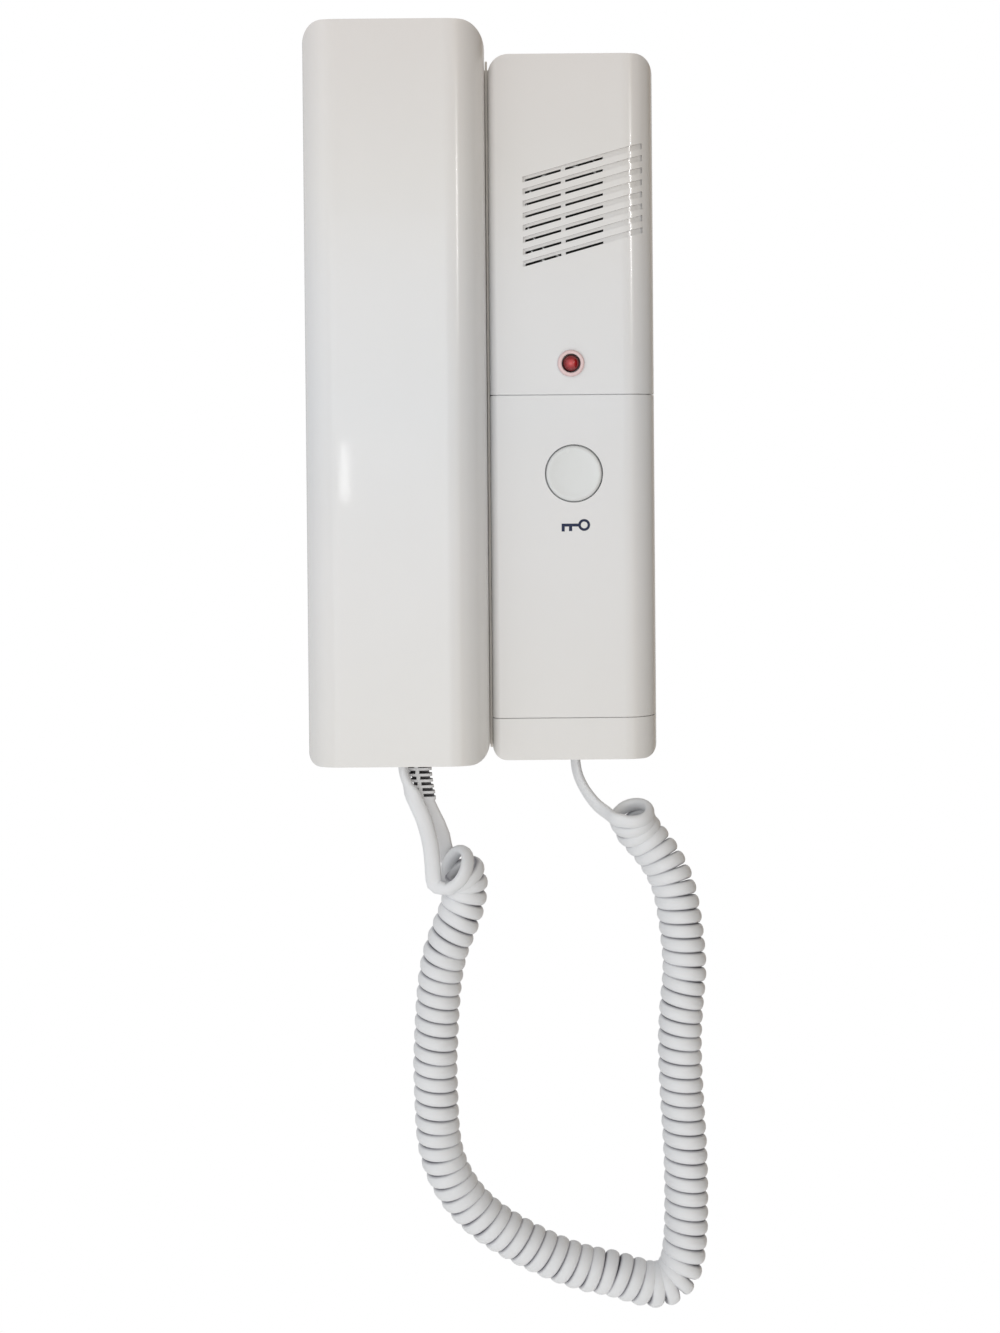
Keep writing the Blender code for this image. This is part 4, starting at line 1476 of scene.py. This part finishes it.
    def _route(self) -> tuple[list[Vector], list[Vector], int, int]:
        """Join the leads to the helix.

        Returns:
            The whole cord's points in millimetres, the way its flat side faces at each, and the
            numbers of points in the base's lead and in the handset's.
        """
        helix, facing = self._coil_points()
        first_way = (helix[1] - helix[0]).normalized()
        last_way = (helix[-1] - helix[-2]).normalized()
        run_in = list(self.base_lead) + [tuple(helix[0] - first_way * self.run_in), tuple(helix[0])]
        run_out = [tuple(helix[-1]), tuple(helix[-1] + last_way * self.run_out)] + list(self.handset_lead)
        lead_in = smooth_route(tuple(run_in), self.lead_step)
        lead_out = smooth_route(tuple(run_out), self.lead_step)
        points = lead_in[:-1] + helix + lead_out[1:]
        end_face = Vector((-1.0, 0.0, 0.0))
        flat_face = Vector((0.1, -1.0, 0.0))
        faces_in = []
        for k in range(len(lead_in) - 1):
            t = (k / (len(lead_in) - 1)) ** 2
            faces_in.append(end_face.lerp(facing[0], t))
        faces_out = []
        for k in range(1, len(lead_out)):
            near = min(1.0, k / self.facing_reach)
            twist = min(1.0, max(0.0, (lead_out[k].z + self.twist_from) / self.twist_run))
            twist = twist * twist * (3 - 2 * twist)
            faces_out.append(facing[-1].lerp(flat_face, near).lerp(end_face, twist))
        return points, faces_in + facing + faces_out, len(lead_in), len(lead_out)

    def build(self) -> None:
        points, faces, base_count, handset_count = self._route()
        bm = bmesh.new()
        # Vertex mask of painted shade, strongest on the section's sides where neighbouring turns meet.
        depth = bm.verts.layers.float.new(GAP_SHADE_MASK)
        rings = []
        for k, point in enumerate(points):
            from_mouth = min(k - base_count, len(points) - handset_count - k) / self.per_turn
            coiled = 1.0 if from_mouth >= 0.0 else 0.0
            gap_shade = min(1.0, max(0.0, (from_mouth - self.unshaded_turns) / self.shade_fade_turns))
            before, after = points[max(0, k - 1)], points[min(len(points) - 1, k + 1)]
            way = (after - before).normalized()
            out = (faces[k] - way * faces[k].dot(way)).normalized()
            wide = way.cross(out).normalized()
            ring = []
            for n in range(self.section_steps):
                angle = math.tau * n / self.section_steps
                c, s = math.cos(angle), math.sin(angle)
                u = squared(c, self.squareness) * self.width / 2 * (1.0 + self.lead_widening * (1.0 - coiled))
                v = squared(s, self.squareness) * self.thick / 2
                vert = bm.verts.new((point + wide * u + out * v) * MM)
                vert[depth] = gap_shade * min(1.0, max(0.0, (abs(c) - self.shade_from) / self.shade_run)) ** 1.5
                ring.append(vert)
            rings.append(ring)
        skin_rings(bm, rings)
        cord = make_object("curly_cord_run", bm, VINYL)
        cord.data.shade_smooth()
        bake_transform(cord)
        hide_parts("cord_lead_base", "curly_cord", "cord_lead_handset")


@dataclass
class StrainBoot:
    """Slotted strain-relief boot under the handset, with its smooth flat tail."""

    route: tuple = (
        (-19.2, -26.6, -101.6, 3.9, 2.1), (-18.7, -26.6, -106.5, 3.7, 2.0), (-17.9, -26.5, -110.0, 3.3, 1.9),
        (-16.9, -26.3, -113.0, 2.9, 1.8), (-16.4, -26.1, -114.6, 2.5, 1.6), (-16.4, -26.0, -115.0, 2.15, 1.35),
        (-15.2, -25.2, -118.0, 2.25, 1.3), (-13.7, -24.0, -121.6, 2.4, 1.3), (-12.5, -22.5, -125.4, 2.5, 1.3),
        (-12.0, -20.9, -129.0, 2.6, 1.25), (-11.4, -19.8, -131.7, 2.7, 1.1), (-10.2, -19.0, -134.0, 3.2, 1.0),
        (-9.4, -18.6, -136.0, 2.6, 0.9),
    )
    slots: int = 6
    slot_pitch: float = 1.72
    slot_height: float = 0.95
    first_slot: float = -104.6
    spine: float = 0.55
    slot_x: float = -19.0
    slot_drift: float = 0.30
    squareness: float = 0.7
    section_steps: int = 24

    def build(self) -> None:
        """Make the boot."""
        bm = bmesh.new()
        rings = []
        for x, y, z, half_x, half_y in self.route:
            ring = []
            for n in range(self.section_steps):
                angle = math.tau * n / self.section_steps
                c, s = math.cos(angle), math.sin(angle)
                u, v = squared(c, self.squareness) * half_x, squared(s, self.squareness) * half_y
                ring.append(bm.verts.new(Vector((x + u, y + v, z)) * MM))
            rings.append(ring)
        skin_rings(bm, rings)
        boot = make_object("strain_boot", bm, BOOT_VINYL)
        bm = bmesh.new()
        for k in range(self.slots):
            z = self.first_slot - self.slot_pitch * k
            x = self.slot_x + self.slot_drift * k
            low, high = z - self.slot_height / 2, z + self.slot_height / 2
            add_block(bm, (x - 2.9, -30.0, low), (x - 1.1, -25.0, high))
            add_block(bm, (x - 1.1 + 2 * self.spine, -30.0, low), (x + 6.0, -25.0, high))
        # The slot faces take the dark colour of painted shade.
        combine(boot, bm, Cut.TAKE, BOOT_SLOT_PAINTED_SHADE)
        soften(boot, 0.1 * MM, 2, 50.0)
        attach(boot, "handset")
        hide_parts("strain_relief_boot")
        LOG.info("strain boot: %d faces", len(boot.data.polygons))


# ---------------------------------------------------------------- carried-over pieces


@dataclass
class Insides:
    """Finishes of the pieces that keep their engineering shape."""

    finishes: dict = field(
        default_factory=lambda: {
            HOUSING: ("rear_housing",),
            DARK: (
                "lamp_spacer",
                "control_chip",
                "door_switch",
                "hook_switch",
                "cord_clamp",
                "receiver_capsule",
            ),
            RUBBER: ("speaker_gasket", "receiver_gasket", "microphone_grommet"),
            PAPER: ("speaker_cone",),
            LAMINATE: ("circuit_board", "handset_board"),
            TERMINAL: ("terminal_block",),
            SLEEVE: ("line_capacitor",),
            BUTTON: ("door_switch_plunger", "hook_lever"),
            STEEL: (
                *("speaker_frame", "speaker_magnet", "microphone_capsule"),
                *("hook_pin", "hook_spring", "hook_switch_plunger"),
                *(f"board_screw_{n}" for n in (1, 2)),
                *(f"terminal_screw_{n}" for n in (1, 2, 3, 4)),
                *(f"handset_screw_{n}" for n in (1, 2)),
            ),
        }
    )

    def dress(self, nodes: dict) -> None:
        """Give each carried-over piece its finish.

        Args:
            nodes: The frame's objects by node name.
        """
        for finish, names in self.finishes.items():
            for name in names:
                slots = nodes[name].data.materials
                slots.clear()
                slots.append(finish.material())
        LOG.info("dressed %d carried-over pieces", sum(len(n) for n in self.finishes.values()))


# ---------------------------------------------------------------- studio


@dataclass
class Studio:
    """Camera, soft lights, pale surroundings and floor."""

    eye: Triple = (0.0, -618.5, -13.2)
    lens: float = 54.5
    pitch: float = 0.927
    roll: float = -0.5
    shift_x: float = 0.01463
    shift_y: float = -0.135
    floor: float = -420.0
    floor_glow: float = 0.36
    floor_forward: float = -450.0
    floor_radius: float = 0.6
    front_level: float = 1.0
    back_level: float = 0.55
    ceiling_level: float = 0.3
    walls: tuple = (
        (0.0, (0.78, 0.78, 0.78)),
        (0.15, (1.10, 1.10, 1.10)),
        (0.35, (1.0, 1.0, 1.0)),
        (0.62, (1.04, 1.03, 1.01)),
        (0.74, (1.16, 1.12, 1.06)),
        (0.82, (0.53, 0.41, 0.25)),
        (0.90, (0.09, 0.05, 0.012)),
        (1.0, (0.0, 0.0, 0.0)),
    )

    def camera(self) -> None:
        """Place the camera."""
        data = bpy.data.cameras.new("camera")
        data.lens = self.lens
        data.sensor_width = 36.0
        data.shift_x = self.shift_x
        data.shift_y = self.shift_y
        data.clip_start = 0.01
        obj = bpy.data.objects.new("camera", data)
        tilt = Matrix.Rotation(math.radians(90.0 - self.pitch), 4, "X")
        roll = Matrix.Rotation(math.radians(self.roll), 4, "Z")
        obj.matrix_world = Matrix.Translation(Vector(self.eye) * MM) @ tilt @ roll
        bpy.context.scene.collection.objects.link(obj)
        bpy.context.scene.camera = obj

    def _light(self, name: str, at: tuple, aim: tuple, size: tuple, power: float, tint: tuple) -> None:
        """Add a soft rectangular light.

        Args:
            name: Its name.
            at: Where it is, in metres.
            aim: The point it faces, in metres.
            size: Its width and height, in metres.
            power: Its power, in watts.
            tint: Its colour.
        """
        data = bpy.data.lights.new(name, "AREA")
        data.shape = "RECTANGLE"
        data.size, data.size_y = size
        data.energy = power
        data.color = tint
        obj = bpy.data.objects.new(name, data)
        way = (Vector(aim) - Vector(at)).normalized()
        obj.matrix_world = Matrix.Translation(at) @ way.to_track_quat("-Z", "Y").to_matrix().to_4x4()
        bpy.context.scene.collection.objects.link(obj)

    def lights(self) -> None:
        """Set the surroundings and the lights."""
        world = bpy.data.worlds.new("studio")
        bpy.context.scene.world = world
        world.use_nodes = True
        world.node_tree.nodes.clear()
        graph = Graph(world.node_tree)
        half_sum = (self.front_level + self.back_level) / 2
        half_gap = (self.front_level - self.back_level) / 2
        place = graph.add("ShaderNodeTexCoord")
        split = graph.add("ShaderNodeSeparateXYZ")
        across = graph.add("ShaderNodeMath", {1: 0.5, 2: 0.5}, operation="MULTIPLY_ADD")
        walls = graph.ramp(self.walls, "EASE")
        front = graph.add("ShaderNodeMath", {1: -half_gap, 2: half_sum}, operation="MULTIPLY_ADD")
        upper_half = {"From Min": 0.5, "To Min": 1.0, "To Max": self.ceiling_level}
        above = graph.add("ShaderNodeMapRange", upper_half)
        level = graph.add("ShaderNodeMath", operation="MULTIPLY")
        room = graph.add("ShaderNodeBackground")
        plain = graph.add("ShaderNodeBackground", {"Color": (1.0, 1.0, 1.0, 1.0), "Strength": 1.0})
        seen = graph.add("ShaderNodeLightPath")
        pick = graph.add("ShaderNodeMixShader")
        out = graph.add("ShaderNodeOutputWorld")
        graph.link(place, "Generated", split, "Vector")
        graph.link(split, "X", across, 0)
        graph.link(across, "Value", walls, "Fac")
        graph.link(split, "Y", front, 0)
        graph.link(split, "Z", above, "Value")
        graph.link(front, "Value", level, 0)
        graph.link(above, "Result", level, 1)
        graph.link(walls, "Color", room, "Color")
        graph.link(level, "Value", room, "Strength")
        graph.link(seen, "Is Camera Ray", pick, "Fac")
        graph.link(room, "Background", pick, 1)
        graph.link(plain, "Background", pick, 2)
        graph.link(pick, "Shader", out, "Surface")
        self._light("key", (-0.15, -1.05, -0.10), (-0.02, 0.0, -0.09), (0.55, 0.55), 0.86, (0.90, 0.96, 1.0))
        self._light("window", (0.95, -1.25, 0.24), (0.03, 0.0, 0.05), (0.028, 0.14), 1.0, (1.0, 1.0, 1.0))
        self._light("flash", (-0.141, -1.5, -0.03), (-0.02, 0.0, -0.03), (0.009, 0.055), 0.028, (1.0, 1.0, 1.0))
        scene = bpy.context.scene
        scene.view_settings.view_transform = "Standard"
        scene.view_settings.look = "None"

    def ground(self) -> None:
        """Add the pale floor under the hanging cord."""
        bm = bmesh.new()
        place = Matrix.Translation(Vector((0.0, self.floor_forward, self.floor)) * MM)
        bmesh.ops.create_circle(bm, cap_ends=True, segments=96, radius=self.floor_radius, matrix=place)
        paint = Plastic("floor_pale", (0.85, 0.85, 0.84), (0.83, 0.83, 0.82), 0.6)
        floor = make_object("floor", bm, paint)
        shader = paint.material().node_tree.nodes["Principled BSDF"]
        shader.inputs["Emission Color"].default_value = (1.0, 1.0, 1.0, 1.0)
        shader.inputs["Emission Strength"].default_value = self.floor_glow


def corners(box: tuple[Vector, Vector]) -> list[list[float]]:
    """Return a box's two corners as plain lists of numbers.

    Args:
        box: The lowest and highest corners.

    Returns:
        Two lists of three numbers.
    """
    return [[round(v, 5) for v in corner] for corner in box]


def main() -> None:
    """Build every piece on the frame."""
    logging.basicConfig(level=logging.INFO, format="%(name)s: %(message)s")
    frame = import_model()
    studio = Studio()
    studio.camera()
    studio.lights()
    studio.ground()
    CurlyCord().build()
    StrainBoot().build()
    Insides().dress(frame["nodes"])
    lamp = Lamp()
    lamp.build()
    button = DoorButton()
    button.build()
    button.spring(frame["nodes"]["button_spring"])
    KeySign().build()
    tower = Tower()
    tower.make_forms()
    tower.upper(Grille(), lamp)
    tower.lower(button)
    tower.bottom_end()
    tower.drop_forms()
    Cradle().build()
    Handset().build()


if __name__ == "__main__":
    main()
